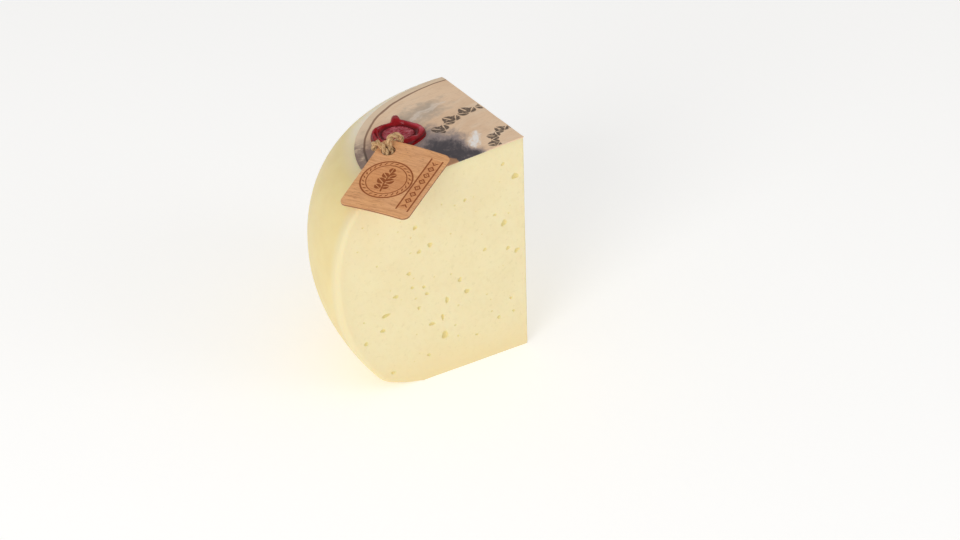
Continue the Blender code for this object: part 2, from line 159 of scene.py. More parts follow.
class StageSettings(bpy.types.PropertyGroup):
    """Floor and light."""

    floor: colour_setting("Floor", "Colour of the floor", (0.94, 0.94, 0.94))
    floor_glow: number_setting(
        "Floor glow", "Light that the floor gives off, as in a light tent", 0.27, 1.0, unit="NONE")
    key: number_setting("Key light", "Power of the key light", 9.2, 200.0, unit="POWER")
    fill: number_setting("Fill light", "Power of the fill light", 3.0, 200.0, unit="POWER")
    sky: number_setting(
        "Surroundings", "Brightness of the white surroundings", 0.575, 4.0, unit="NONE")


# ---------------- shader nodes

class Wire:
    """A node's output; arithmetic on it adds Math nodes to its material."""

    def __init__(self, paint, socket):
        self.paint = paint
        self.socket = socket

    def __add__(self, other):
        return self.paint.maths("ADD", self, other)

    def __sub__(self, other):
        return self.paint.maths("SUBTRACT", self, other)

    def __rsub__(self, other):
        return self.paint.maths("SUBTRACT", other, self)

    def __mul__(self, other):
        return self.paint.maths("MULTIPLY", self, other)

    def __truediv__(self, other):
        return self.paint.maths("DIVIDE", self, other)

    __radd__ = __add__
    __rmul__ = __mul__


class Paint:
    """Builds the nodes of one material."""

    def __init__(self, name):
        old = bpy.data.materials.get(name)
        if old:
            bpy.data.materials.remove(old)
        self.material = bpy.data.materials.new(name)
        self.material.use_nodes = True
        self.tree = self.material.node_tree
        self.tree.nodes.clear()

    def node(self, kind, settings=None, inputs=None, output=0):
        """Adds a node, sets it up, fills its sockets and returns one of its outputs."""
        made = self.tree.nodes.new(kind)
        for name, value in (settings or {}).items():
            setattr(made, name, value)
        for name, value in (inputs or {}).items():
            if isinstance(value, Wire):
                self.tree.links.new(value.socket, made.inputs[name])
            else:
                made.inputs[name].default_value = value
        return Wire(self, made.outputs[output]) if made.outputs else None

    def maths(self, operation, *values):
        return self.node("ShaderNodeMath", {"operation": operation}, dict(enumerate(values)))

    def vector(self, operation, *values):
        return self.node("ShaderNodeVectorMath", {"operation": operation}, dict(enumerate(values)))

    def mix(self, share, *colours):
        """A colour between two others."""
        first, second = [c if isinstance(c, Wire) else (*c, 1.0) for c in colours]
        sockets = {0: share, 6: first, 7: second}
        return self.node("ShaderNodeMix", {"data_type": "RGBA"}, sockets, output=2)

    def layered(self, colour, *layers):
        """A colour with others laid over it, each given as its share and its colour."""
        for share, layer in layers:
            colour = self.mix(share, colour, layer)
        return colour

    def place(self, origin):
        """The surface point in millimetres from an origin given in metres."""
        here = self.node("ShaderNodeTexCoord", output="Object")
        moved = self.vector("SUBTRACT", here, tuple(origin))
        return self.vector("MULTIPLY", moved, (1 / MILLIMETRE,) * 3)

    def parts(self, vector):
        """The three numbers of a vector."""
        return [
            self.node("ShaderNodeSeparateXYZ", None, {0: vector}, output=axis) for axis in range(3)
        ]

    def joined(self, x, y, z):
        return self.node("ShaderNodeCombineXYZ", None, {0: x, 1: y, 2: z})

    def attribute(self, name, output="Fac"):
        return self.node("ShaderNodeAttribute", {"attribute_name": name}, output=output)

    def noise(self, vector, size, detail=2.0, roughness=0.5, distortion=0.0, squeeze=None):
        """Noise from 0 to 1 whose blotches are about this many millimetres across."""
        return self.node("ShaderNodeTexNoise", None, {
            "Vector": self.vector("MULTIPLY", vector, squeeze) if squeeze else vector,
            "Scale": 1 / size,
            "Detail": detail,
            "Roughness": roughness,
            "Distortion": distortion,
        })

    def finish(self, colour, roughness, bump, constants):
        """Ends the material in one Principled shader; bump is a height in millimetres."""
        normal = self.node("ShaderNodeBump", None, {"Height": bump, "Distance": MILLIMETRE})
        surface = self.node("ShaderNodeBsdfPrincipled", None, {
            "Base Color": colour, "Roughness": roughness, "Normal": normal, **constants})
        self.node("ShaderNodeOutputMaterial", None, {"Surface": surface})
        return self.material


def either(operation, plain):
    """A function that adds a Math node where a value is a wire, and else works out a number."""
    def worked_out(*values):
        wires = [value for value in values if isinstance(value, Wire)]
        return wires[0].paint.maths(operation, *values) if wires else plain(*values)
    return worked_out


square_root = either("SQRT", math.sqrt)
arc_tangent = either("ARCTAN2", math.atan2)
cosine = either("COSINE", math.cos)
sine = either("SINE", math.sin)
size_of = either("ABSOLUTE", abs)
larger = either("MAXIMUM", max)
whole = either("FLOOR", math.floor)


def reach_of(x, y):
    return square_root(x * x + y * y)


def within_step(value, step):
    """How far a value lies from the middle of its step, from -step/2 to step/2."""
    return value - whole(value / step) * step - step / 2


def rises(value, start, end):
    """0 up to start, 1 from end on, and smooth between them."""
    if isinstance(value, Wire):
        return value.paint.node("ShaderNodeMapRange", {"interpolation_type": "SMOOTHSTEP"}, {
            "Value": value, "From Min": start, "From Max": end})
    share = min(max((value - start) / (end - start), 0.0), 1.0)
    return share * share * (3 - 2 * share)


def falls(value, start, end):
    return 1 - rises(value, start, end)


def between(value, low, high, soft):
    """1 from low to high, with soft borders of this half width."""
    return rises(value, low - soft, low + soft) * falls(value, high - soft, high + soft)


def shares(count, first=0):
    """Even steps from first / count up to 1."""
    return [step / count for step in range(first, count + 1)]


# ---------------- the wheel's form

def upright(radius, height, angle):
    """A point of the wheel before it sagged, from its axis foot."""
    return Vector((-radius * math.cos(angle), radius * math.sin(angle), height))


def sagged(point):
    """The same point with the top's slope and the axis's lean."""
    flat = point.to_2d()
    z = point.z + TOP_SLOPE.dot(flat) * min(point.z / WHEEL_HEIGHT, 1.0)
    return Vector((*(flat + AXIS_LEAN * (z / WHEEL_HEIGHT)), z))


def label_reach(angle):
    """How far the label reaches from the wheel's axis at an angle."""
    along = LABEL_SHIFT * math.sin(angle)
    return along + math.sqrt(LABEL_RADIUS ** 2 - LABEL_SHIFT ** 2 + along ** 2)


def top_height(radius):
    """The height of the wheel's top, which falls away beyond its flat."""
    beyond = max(0.0, radius - TOP_FLAT_RADIUS) / (WIDEST_RADIUS - TOP_FLAT_RADIUS)
    rise = (1 - beyond ** UPPER_FULLNESS) ** (1 / UPPER_FULLNESS)
    return WIDEST_HEIGHT + (WHEEL_HEIGHT - WIDEST_HEIGHT) * rise


def axis_foot():
    """Where the wheel's axis meets the ground, from the label's corner and the front cut."""
    reach = label_reach(WEDGE_ANGLE)
    corner = sagged(upright(reach, top_height(reach) + LABEL_GAP, WEDGE_ANGLE))
    return Vector((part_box("label")[1].x - corner.x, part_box("cheese")[0].y, 0.0))


FOOT = axis_foot()


def on_top(x, y, lift):
    """A point above the sloping flat top, from x and y counted from the axis foot."""
    slope = TOP_SLOPE.dot(Vector((x, y)) - AXIS_LEAN)
    return FOOT + Vector((x, y, WHEEL_HEIGHT + slope + lift))


def foot_radius(angle):
    """How far the flat foot reaches at an angle."""
    ease = math.sin(math.pi / 2 * min(angle / FOOT_EASING_ANGLE, 1.0)) ** 2
    return FOOT_FRONT_RADIUS + (FOOT_FLAT_RADIUS - FOOT_FRONT_RADIUS) * ease


def flank_point(share):
    """A point of the flank, which falls in from the widest radius to the heel."""
    return Vector((
        WIDEST_RADIUS - (WIDEST_RADIUS - HEEL_RADIUS) * share ** FLANK_FULLNESS,
        WIDEST_HEIGHT - (WIDEST_HEIGHT - HEEL_HEIGHT) * share,
    ))


def underside_point(radius, foot):
    rise = ((radius - foot) / (HEEL_RADIUS - foot)) ** UNDERSIDE_FULLNESS
    return Vector((radius, HEEL_HEIGHT * rise))


def rind_outline(angle, steps):
    """The rind from the flat top down to the flat foot, as (radius, height) pairs."""
    upper_steps, flank_steps, heel_steps, underside_steps = steps
    points = []
    for step in range(upper_steps + 1):
        turn = math.pi / 2 * step / upper_steps
        reach = math.sin(turn) ** (2 / UPPER_FULLNESS)
        rise = math.cos(turn) ** (2 / UPPER_FULLNESS) if step < upper_steps else 0.0
        points.append(Vector((
            TOP_FLAT_RADIUS + (WIDEST_RADIUS - TOP_FLAT_RADIUS) * reach,
            WIDEST_HEIGHT + (WHEEL_HEIGHT - WIDEST_HEIGHT) * rise,
        )))
    flank_end = 1 - HEEL_ROUNDING / (WIDEST_HEIGHT - HEEL_HEIGHT)
    points += [flank_point(flank_end * step / flank_steps) for step in range(1, flank_steps + 1)]
    foot = foot_radius(angle)
    corner = Vector((HEEL_RADIUS, HEEL_HEIGHT))
    above = points[-1]
    below = underside_point(HEEL_RADIUS - HEEL_ROUNDING, foot)
    for t in shares(heel_steps, 1):
        points.append(above * (1 - t) ** 2 + corner * (2 * t * (1 - t)) + below * t ** 2)
    for step in range(1, underside_steps + 1):
        radius = below.x + (foot - below.x) * step / underside_steps
        points.append(underside_point(max(radius, foot), foot))
    return points


def outward(outline, index):
    """The outline's outward normal; none where it meets a flat."""
    if index in (0, len(outline) - 1):
        return Vector((0.0, 0.0))
    along = outline[index + 1] - outline[index - 1]
    return Vector((-along.y, along.x)).normalized()


def rounding_at(share):
    """The edge's rounding along the outline: full on the rind's flank, small at the flats."""
    fullness = math.sin(math.pi * min(max(share, 0.0), 1.0)) ** 0.5
    return FLAT_EDGE_ROUNDING + (RIND_EDGE_ROUNDING - FLAT_EDGE_ROUNDING) * fullness


def reach_at(outline, height):
    """How far the paste reaches from the axis at a height."""
    for upper, lower in zip(outline, outline[1:]):
        if lower.y <= height <= upper.y:
            share = (upper.y - height) / (upper.y - lower.y)
            return upper.x + (lower.x - upper.x) * share
    return 0.0


# ---------------- mesh helpers

def mesh_from(bm, name, sharp_degrees):
    bmesh.ops.recalc_face_normals(bm, faces=bm.faces)
    mesh = bpy.data.meshes.new(name)
    bm.to_mesh(mesh)
    bm.free()
    mesh.shade_smooth()
    mesh.set_sharp_from_angle(angle=math.radians(sharp_degrees))
    return mesh


def linked(name, data):
    """A new object in the scene, in place of one of the same name."""
    old = bpy.data.objects.get(name)
    if old:
        bpy.data.objects.remove(old, do_unlink=True)
    made = bpy.data.objects.new(name, data)
    bpy.context.scene.collection.objects.link(made)
    return made


def number_layers(bm, *names):
    return [bm.verts.layers.float.new(name) for name in names]


def quads_between(bm, *rows):
    """Faces between neighbouring rows of vertices of the same length."""
    for first, second in zip(rows, rows[1:]):
        for index in range(len(first) - 1):
            bm.faces.new((first[index], first[index + 1], second[index + 1], second[index]))


def fan(bm, tip, ring):
    for left, right in zip(ring, ring[1:]):
        bm.faces.new((tip, left, right))


def smooth_route(points, spacing):
    """Points at an even spacing along a Catmull-Rom curve through the given ones."""
    ends = [points[0] * 2 - points[1]] + points + [points[-1] * 2 - points[-2]]
    route = []
    for a, b, c, d in zip(ends, ends[1:], ends[2:], ends[3:]):
        steps = max(1, round((c - b).length / spacing))
        for step in range(steps):
            t = step / steps
            route.append(0.5 * (
                2 * b + (c - a) * t
                + (2 * a - 5 * b + 4 * c - d) * t ** 2
                + (3 * b - a - 3 * c + d) * t ** 3
            ))
    return route + [points[-1]]


def frames_along(path):
    """(point, side, up, distance) along a path, with no twist between neighbours."""
    found = []
    side = None
    distance = 0.0
    for index, point in enumerate(path):
        ahead = path[min(index + 1, len(path) - 1)] - path[max(index - 1, 0)]
        ahead.normalize()
        if side is None:
            side = ahead.orthogonal()
        side = (side - ahead * side.dot(ahead)).normalized()
        if index:
            distance += (point - path[index - 1]).length
        found.append((point, side, ahead.cross(side), distance))
    return found


# ---------------- the cheese

# Steps along the upper part, the flank, the heel and the underside, here and in the solids.
OUTLINE_STEPS = (44, 40, 8, 14)
SOLID_OUTLINE_STEPS = (10, 8, 3, 4)
ROUNDING_STEPS = 8
SWEEP_STEPS = 96
CUT_STEPS = 56
AXIS_EDGE = 0.0006
ON_PLANE = 1e-7

# The front cut's eyes, in millimetres: distance from the axis, height, half width, half height.
LARGE_EYES = (
    (5.5, 96.6, 1.7, 1.5), (12.3, 105.5, 0.9, 0.8), (12.5, 73.3, 1.4, 1.6),
    (17.6, 79.5, 0.8, 0.7), (10.6, 58.6, 1.1, 0.9), (5.4, 55.6, 1.4, 1.1),
    (34.4, 93.8, 0.9, 0.7), (62.6, 88.8, 1.0, 1.1), (54.8, 76.4, 1.4, 1.1),
    (61.0, 74.8, 1.0, 1.0), (67.2, 64.6, 1.2, 0.9), (59.2, 54.1, 0.9, 0.8),
    (75.0, 54.3, 1.3, 0.9), (38.8, 50.6, 1.2, 1.0), (35.0, 42.8, 1.4, 1.2),
    (81.0, 45.6, 2.1, 0.9), (83.1, 37.5, 1.2, 1.0), (62.5, 43.2, 1.0, 0.8),
    (46.6, 41.9, 0.8, 1.9), (49.4, 33.0, 0.8, 1.6), (55.7, 31.3, 1.5, 0.9),
    (48.6, 22.2, 1.9, 1.8), (17.0, 21.2, 1.0, 0.8), (58.2, 13.9, 0.9, 0.8),
)
SMALL_EYES_FRONT = 8
EYES_SECOND_CUT = 26
SMALL_EYE_RADIUS = (0.0006, 0.0009)
SECOND_CUT_EYE_RADIUS = (0.0007, 0.0017)
EYE_WIDTH_RANGE = (0.9, 1.4)
EYE_HEIGHT_RANGE = (0.8, 1.1)
EYE_MARGIN = 0.007
EYE_SPACING = 0.004
EYE_SEED = 11
EYE_DEPTH = 0.7
PINHOLES_A_CUT = 34
PINHOLE_RADIUS = (0.0003, 0.0005)
PINHOLE_DEPTH = 0.6
# An eye's form, and its yellower tint with painted shade in its hollow, as shares of its radius
# and depth.
LIP = 1.6
LIP_SOFTNESS = 0.22
LIP_DEPTH = 0.10
BOWL_DEPTH = 0.92
BOWL_FULLNESS = 0.6
EYE_OVAL = 0.13
EYE_THREE_LOBES = 0.10
EYE_TINT_START = 0.7
EYE_TINT_REACH = 1.5
# Each round of splitting reaches this far past an eye.
REFINED_MARGINS = (0.0030, 0.0013, 0.0004)

EDGE_SOFT_WIDTH = 0.0006
EDGE_SOFT_DEPTH = 0.00022
UNDER_RIND_DEPTH = 0.0055
EDGE_RIND_SHARE = 0.62
RIND_EDGE_FADE = 0.010
CUT_EDGE_FADE = 0.008
# Waves and streaks of the knife, and dents of the rind, as counts for a metre.
CUT_WAVES = 42
KNIFE_STREAKS = (30, 220)
KNIFE_STREAK_SHARE = 0.35
BROAD_DENTS = 26
SMALL_DENTS = 70
MOST_DENT = 1.25
# Where the dents fade in, from the cuts, the foot and the top.
DENTS_FROM_CUT = (0.003, 0.016)
DENTS_FROM_FOOT = (0.001, 0.014)
DENTS_FROM_TOP = (0.001, 0.010)
# The rind below the label's rim is painted near-white as painted light; these set where.
BY_LABEL_WIDTH = 0.009
BY_LABEL_DROP = 0.008
BY_LABEL_IN_FRONT = 0.35
BY_LABEL_TURN = (0.5, 1.0)
# A pit in the rind: angle from the front cut, height and radius.
RIND_PIT = (math.radians(21), 0.0905, 0.0008)


def sweep_stations():
    """Stations from the front cut to the second cut, as (kind, value)."""
    turns = [math.pi / 2 * step / ROUNDING_STEPS for step in range(ROUNDING_STEPS)]
    middle = [("between", share) for share in shares(SWEEP_STEPS)]
    return [("front", t) for t in turns] + middle + [("second", t) for t in reversed(turns)]


def skin_column(station):
    """One column of the upright wheel's rind from the top to the foot."""
    kind, value = station
    swept = {"front": 0.0, "between": value, "second": 1.0}[kind]
    outline = rind_outline(WEDGE_ANGLE * swept, OUTLINE_STEPS)
    return [skin_point(outline, index, station) for index in range(len(outline))]


def skin_point(outline, index, station):
    """One point of a column, with the rounding at the cuts."""
    kind, value = station
    rounding = rounding_at(index / (len(outline) - 1))
    radius, height = outline[index]
    if kind == "between":
        margin = math.asin(rounding / radius)
        return upright(radius, height, margin + (WEDGE_ANGLE - 2 * margin) * value)
    inset = rounding * (1 - math.sin(value))
    radius, height = outline[index] - outward(outline, index) * inset
    margin = math.asin(rounding * (1 - math.cos(value)) / radius)
    return upright(radius, height, margin if kind == "front" else WEDGE_ANGLE - margin)


def scattered_eyes(outline, count, radius_range, taken, rng):
    """Eyes that keep clear of the edges and of each other."""
    found = []
    while len(found) < count:
        height = rng.uniform(EYE_MARGIN, WHEEL_HEIGHT - 2 * EYE_MARGIN)
        distance = rng.uniform(EYE_MARGIN, reach_at(outline, height) - EYE_MARGIN)
        radius = rng.uniform(*radius_range)
        placed = (*taken, *found)
        if any(math.hypot(distance - e[0], height - e[1]) < EYE_SPACING for e in placed):
            continue
        half_width = radius * rng.uniform(*EYE_WIDTH_RANGE)
        found.append((distance, height, half_width, radius * rng.uniform(*EYE_HEIGHT_RANGE)))
    return found


def eyes_of_cuts():
    """The eyes of the front and the second cut, each with its depth and two wobble phases."""
    outline = rind_outline(0.0, SOLID_OUTLINE_STEPS)
    rng = random.Random(EYE_SEED)
    front = [tuple(value * MILLIMETRE for value in eye) for eye in LARGE_EYES]
    front += scattered_eyes(outline, SMALL_EYES_FRONT, SMALL_EYE_RADIUS, front, rng)
    second = scattered_eyes(outline, EYES_SECOND_CUT, SECOND_CUT_EYE_RADIUS, (), rng)
    cuts = []
    for eyes in (front, second):
        pinholes = scattered_eyes(outline, PINHOLES_A_CUT, PINHOLE_RADIUS, eyes, rng)
        cut = [(*eye, EYE_DEPTH * (eye[2] + eye[3]) / 2) for eye in eyes]
        cut += [(*eye, PINHOLE_DEPTH * (eye[2] + eye[3]) / 2) for eye in pinholes]
        cuts.append([(*eye, rng.uniform(0, math.tau), rng.uniform(0, math.tau)) for eye in cut])
    return cuts


def along_cut(point, angle):
    """(distance from the axis, height) of a point in a cut's plane, or None off that plane."""
    off = point.x * math.sin(angle) + point.y * math.cos(angle)
    if abs(off) > ON_PLANE:
        return None
    return point.y * math.sin(angle) - point.x * math.cos(angle), point.z


def near_eye(place, eyes, margin):
    return any(
        abs(place[0] - eye[0]) < eye[2] + margin and abs(place[1] - eye[1]) < eye[3] + margin
        for eye in eyes
    )


def refine_near_eyes(bm, angle, eyes):
    """Splits the cut's faces round the eyes, finer each round."""
    for margin in REFINED_MARGINS:
        edges = set()
        for face in bm.faces:
            if any(along_cut(vert.co, angle) is None for vert in face.verts):
                continue
            if near_eye(along_cut(face.calc_center_median(), angle), eyes, margin):
                edges.update(face.edges)
        bmesh.ops.subdivide_edges(bm, edges=list(edges), cuts=1, use_grid_fill=True)


def eye_hollow(place, eyes):
    """(depth in metres, how strong the eye's yellower tint and painted shade are) at a place in a
    cut.
    """
    deepest, strongest = 0.0, 0.0
    for distance, height, half_width, half_height, depth, first, second in eyes:
        across = (place[0] - distance) / half_width
        up = (place[1] - height) / half_height
        reach = math.hypot(across, up)
        if reach > LIP:
            continue
        turn = math.atan2(up, across)
        oval = EYE_OVAL * math.sin(2 * turn + first)
        reach /= 1 + oval + EYE_THREE_LOBES * math.sin(3 * turn + second)
        bowl = max(0.0, 1 - reach * reach) ** BOWL_FULLNESS
        lip = LIP_DEPTH * math.exp(-((max(reach - 1, 0.0) / LIP_SOFTNESS) ** 2))
        share = min(1.0, BOWL_DEPTH * bowl + lip)
        deepest = max(deepest, share * depth)
        strongest = max(strongest, share, falls(reach, EYE_TINT_START, EYE_TINT_REACH))
    return deepest, strongest


def edge_softness(distance):
    """How far a cut draws back near an edge of its plane."""
    return EDGE_SOFT_DEPTH * max(0.0, 1 - distance / EDGE_SOFT_WIDTH) ** 2


def cut_depth(place, outline, eyes, waviness, seed):
    """(depth, share in an eye, share of rind) at a place in a cut."""
    distance, height = place
    to_rind = reach_at(outline, height) - distance
    hollow, share = eye_hollow(place, eyes)
    wave = noise.noise(Vector((distance, height, seed)) * CUT_WAVES)
    along, across = KNIFE_STREAKS
    streak = noise.noise(Vector((distance * along, height * across, seed)))
    wave += KNIFE_STREAK_SHARE * streak
    fade = rises(to_rind, 0.0, CUT_EDGE_FADE)
    depth = hollow + waviness * fade * (0.5 + 0.5 * max(-1.0, wave))
    depth += edge_softness(distance) + edge_softness(height) + edge_softness(WHEEL_HEIGHT - height)
    to_edge = min(to_rind, height, (WHEEL_HEIGHT - height) * 2)
    rind = EDGE_RIND_SHARE * math.exp(-to_edge / UNDER_RIND_DEPTH)
    return depth, share, rind


def around(point):
    """(radius, angle, distance to the nearer cut) of a point of the upright wheel."""
    radius = math.hypot(point.x, point.y)
    angle = math.atan2(point.y, -point.x)
    return radius, angle, min(angle, WEDGE_ANGLE - angle) * radius


def rind_depth(point, dents):
    """How far the rind draws back: shallow dents, none at the cuts, the label and the foot."""
    radius, angle, clear = around(point)
    fade = rises(clear, *DENTS_FROM_CUT) * rises(point.z, *DENTS_FROM_FOOT)
    fade *= rises(WHEEL_HEIGHT - point.z, *DENTS_FROM_TOP)
    wave = noise.noise(point * BROAD_DENTS)
    wave += 0.5 * noise.noise(point * SMALL_DENTS + Vector((3, 1, 2)))
    depth = dents * fade * (0.5 + 0.4 * max(-MOST_DENT, min(wave, MOST_DENT)))
    pit_angle, pit_height, pit_radius = RIND_PIT
    away = math.hypot((angle - pit_angle) * radius, point.z - pit_height) / pit_radius
    return depth + 0.5 * pit_radius * math.exp(-(away ** 2))


def rind_share(point):
    """How much rind shows at a point of the skin: the paste's tone wraps round its edges."""
    clear = around(point)[2]
    return EDGE_RIND_SHARE + (1 - EDGE_RIND_SHARE) * rises(clear, 0.0, RIND_EDGE_FADE)


def painted_light_near_label(point):
    """How much painted light the rind gets: 1 at the label's rim, 0 a little way down the
    shoulder, and weaker near the front cut.
    """
    radius, angle, _ = around(point)
    behind = BY_LABEL_IN_FRONT + (1 - BY_LABEL_IN_FRONT) * rises(angle, *BY_LABEL_TURN)
    near = behind * falls(radius - label_reach(angle), 0.0, BY_LABEL_WIDTH)
    return near * rises(point.z, WIDEST_HEIGHT, WHEEL_HEIGHT - BY_LABEL_DROP)


def cheese_mesh(settings):
    """The wedge as one closed skin, with hollow eyes in both cuts."""
    bm = bmesh.new()
    columns = [
        [bm.verts.new(point) for point in skin_column(station)] for station in sweep_stations()
    ]
    axis = [bm.verts.new((0.0, 0.0, vert.co.z)) for vert in columns[0]]
    quads_between(bm, *columns)
    rims = []
    for border in (columns[0], columns[-1]):
        cut = [border]
        for share in shares(CUT_STEPS, 1)[:-1]:
            cut.append([bm.verts.new(v.co.lerp(a.co, share)) for v, a in zip(border, axis)])
        edge = [v.co.to_2d().normalized() * AXIS_EDGE for v in border]
        cut.append([bm.verts.new((*flat, a.co.z)) for flat, a in zip(edge, axis)])
        quads_between(bm, *cut, axis)
        rims.append(cut[1:])
    for row in (0, -1):
        inward = [column[row] for column in rims[0]]
        outbound = [column[row] for column in reversed(rims[1])]
        sweep = [column[row] for column in reversed(columns)]
        bm.faces.new(sweep + inward + [axis[row]] + outbound)
    cuts = list(zip(CUT_ANGLES, eyes_of_cuts(), (1, -1)))
    for angle, eyes, _ in cuts:
        refine_near_eyes(bm, angle, eyes)
    bmesh.ops.recalc_face_normals(bm, faces=bm.faces)
    bm.normal_update()
    dress_cheese(bm, cuts, settings)
    for vert in bm.verts:
        vert.co = sagged(vert.co) + FOOT
    return mesh_from(bm, "cheese_wedge", sharp_degrees=40)


def dress_cheese(bm, cuts, settings):
    """Sinks the eyes, waves and dents into the skin, and notes where the materials change."""
    outline = rind_outline(0.0, OUTLINE_STEPS)
    eye_tint_and_shade_layer, rind_layer, painted_light_by_label_layer = number_layers(bm, "eye", "rind", "by_label")
    for vert in bm.verts:
        push = Vector((0.0, 0.0, 0.0))
        in_cut = False
        for angle, eyes, side in cuts:
            place = along_cut(vert.co, angle)
            if place is None:
                continue
            in_cut = True
            depth, vert[eye_tint_and_shade_layer], vert[rind_layer] = cut_depth(
                place, outline, eyes, settings.waviness, angle)
            push += Vector((math.sin(angle), math.cos(angle), 0.0)) * side * depth
        if not in_cut:
            vert[rind_layer] = rind_share(vert.co)
            vert[painted_light_by_label_layer] = painted_light_near_label(vert.co)
            push = -vert.normal * rind_depth(vert.co, settings.dents)
        vert.co += push


def cheese_finish(settings):
    """Creamy paste that turns yellower towards a smooth rind."""
    paint = Paint("cheese")
    place = paint.place(FOOT)
    height = paint.parts(place)[2]
    eye = paint.attribute("eye")
    rind = paint.attribute("rind")
    cloud = paint.noise(place, 21, 3.0)
    grain = paint.noise(place, 2.6, 4.0, 0.6)
    mark = paint.noise(place, 1.9, 1.0, 0.4)
    blotch = paint.noise(place, 15, 3.0, 0.55)
    speck = paint.noise(place, 0.9, 2.0, 0.6)
    fine = paint.noise(place, 0.55, 3.0, 0.6)
    knife = paint.noise(place, 0.8, 3.0, squeeze=(0.05, 0.05, 1.0))
    paste = paint.layered(
        settings.paste,
        (rises(cloud, 0.3, 0.75) * 0.5, srgb(236, 219, 172)),
        (rises(grain, 0.45, 0.72) * 0.28, srgb(229, 213, 164)),
        (rises(mark, 0.64, 0.76) * 0.34, srgb(222, 208, 160)),
        (rises(rind, 0.02, EDGE_RIND_SHARE), settings.under_rind),
        # Painted warm bounce light near the foot of the cut.
        (falls(height, 0, 26) * 0.45, srgb(238, 215, 160)),
        # The eyes' hollows and rims get a yellower tint that is partly painted shade.
        (rises(eye, 0.05, 0.95) * 0.9, settings.eye),
    )
    skin = paint.layered(
        settings.rind,
        (rises(blotch, 0.3, 0.7) * 0.55, srgb(231, 208, 144)),
        (rises(speck, 0.62, 0.8) * 0.16, srgb(214, 190, 126)),
        # Painted warm bounce light near the foot of the rind.
        (falls(height, 4, 46) * 0.5, srgb(238, 208, 138)),
        # Painted light: the rind next to the label's rim is lightened nearly to white.
        (paint.attribute("by_label") * 0.9, srgb(255, 244, 226)),
    )
    on_rind = rises(rind, EDGE_RIND_SHARE, 1.0)
    paste_bump = grain * 0.05 + fine * 0.035 + knife * 0.03
    rind_bump = paint.noise(place, 3.4, 3.0, 0.55) * 0.10 + fine * 0.02
    bump = paste_bump * (1 - on_rind) + rind_bump * on_rind
    roughness = 0.52 - on_rind * 0.10 - eye * 0.12 + grain * 0.06
    return paint.finish(paint.mix(on_rind, paste, skin), roughness, bump, {
        "Subsurface Weight": 0.22,
        "Subsurface Radius": (1.0, 0.62, 0.30),
        "Subsurface Scale": 0.004,
        "IOR": 1.44,
    })


# ---------------- the paper label

LABEL_RINGS = 44
LABEL_STEPS = 110
LABEL_RIPPLE = 0.00006
LABEL_RIPPLES = 160
KNIFE_WANDER = 0.00025
KNIFE_WANDERS = 90
LABEL_TIP_RADIUS = 0.002
# The print, in millimetres and degrees.
RING_LINE_RADIUS = 72.9
STREAK_TURN = 0.16
# Rows of sprigs: radius, first and last angle, spacing and scale.
SPRIG_ROWS = ((43.0, 48, 94, 15.0, 2.6), (15.0, 4, 94, 30.0, 2.0))
# The leaves of one sprig: direction in degrees and scale.
SPRIG_LEAVES = ((90, 1.0), (38, 0.82), (142, 0.82))
SPRIG_ROOT = -1.4


def label_point(share, turn, lift):
    """A point of the label; its rim and its cut edges wander a little."""
    angle = WEDGE_ANGLE * turn
    radius = label_reach(angle) * share
    wave = noise.noise(Vector((radius * KNIFE_WANDERS, turn * 2, 5)))
    wander = KNIFE_WANDER * (0.5 + 0.5 * wave)
    margin = wander / max(radius, LABEL_TIP_RADIUS)
    angle = margin + (WEDGE_ANGLE - 2 * margin) * turn
    radius -= wander * rises(share, 0.9, 1.0)
    return sagged(upright(radius, top_height(radius) + lift, angle)) + FOOT


def label_mesh(settings):
    """A thin closed sheet, cut with the wheel."""
    bm = bmesh.new()
    borders = []
    for lift, ripple in ((settings.underside, 0.0), (settings.face, LABEL_RIPPLE)):
        tip = bm.verts.new(label_point(0.0, 0.5, lift))
        rings = []
        for share in shares(LABEL_RINGS, 1):
            row = []
            for turn in shares(LABEL_STEPS):
                spot = upright(LABEL_RADIUS * share, 0.0, turn)
                wave = ripple * noise.noise(spot * LABEL_RIPPLES)
                row.append(bm.verts.new(label_point(share, turn, lift + wave)))
            rings.append(row)
        quads_between(bm, *rings)
        fan(bm, tip, rings[0])
        front = [ring[0] for ring in rings]
        second = [ring[-1] for ring in reversed(rings)]
        borders.append([tip] + front + rings[-1][1:-1] + second + [tip])
    quads_between(bm, *borders)
    return mesh_from(bm, "paper_label", sharp_degrees=50)


def sprigs(radius, degrees, middle, first, last, spacing, scale):
    """A row of three-leaved sprigs along an arc, between two angles."""
    across = within_step(degrees, spacing) * (middle * math.radians(1))
    up = radius - middle
    row = 0.0
    for direction, share in SPRIG_LEAVES:
        blade = leaf(across, up, 0.0, SPRIG_ROOT * scale, math.radians(direction), scale * share)
        row = larger(row, blade)
    return row * between(degrees, first, last, 0.2)


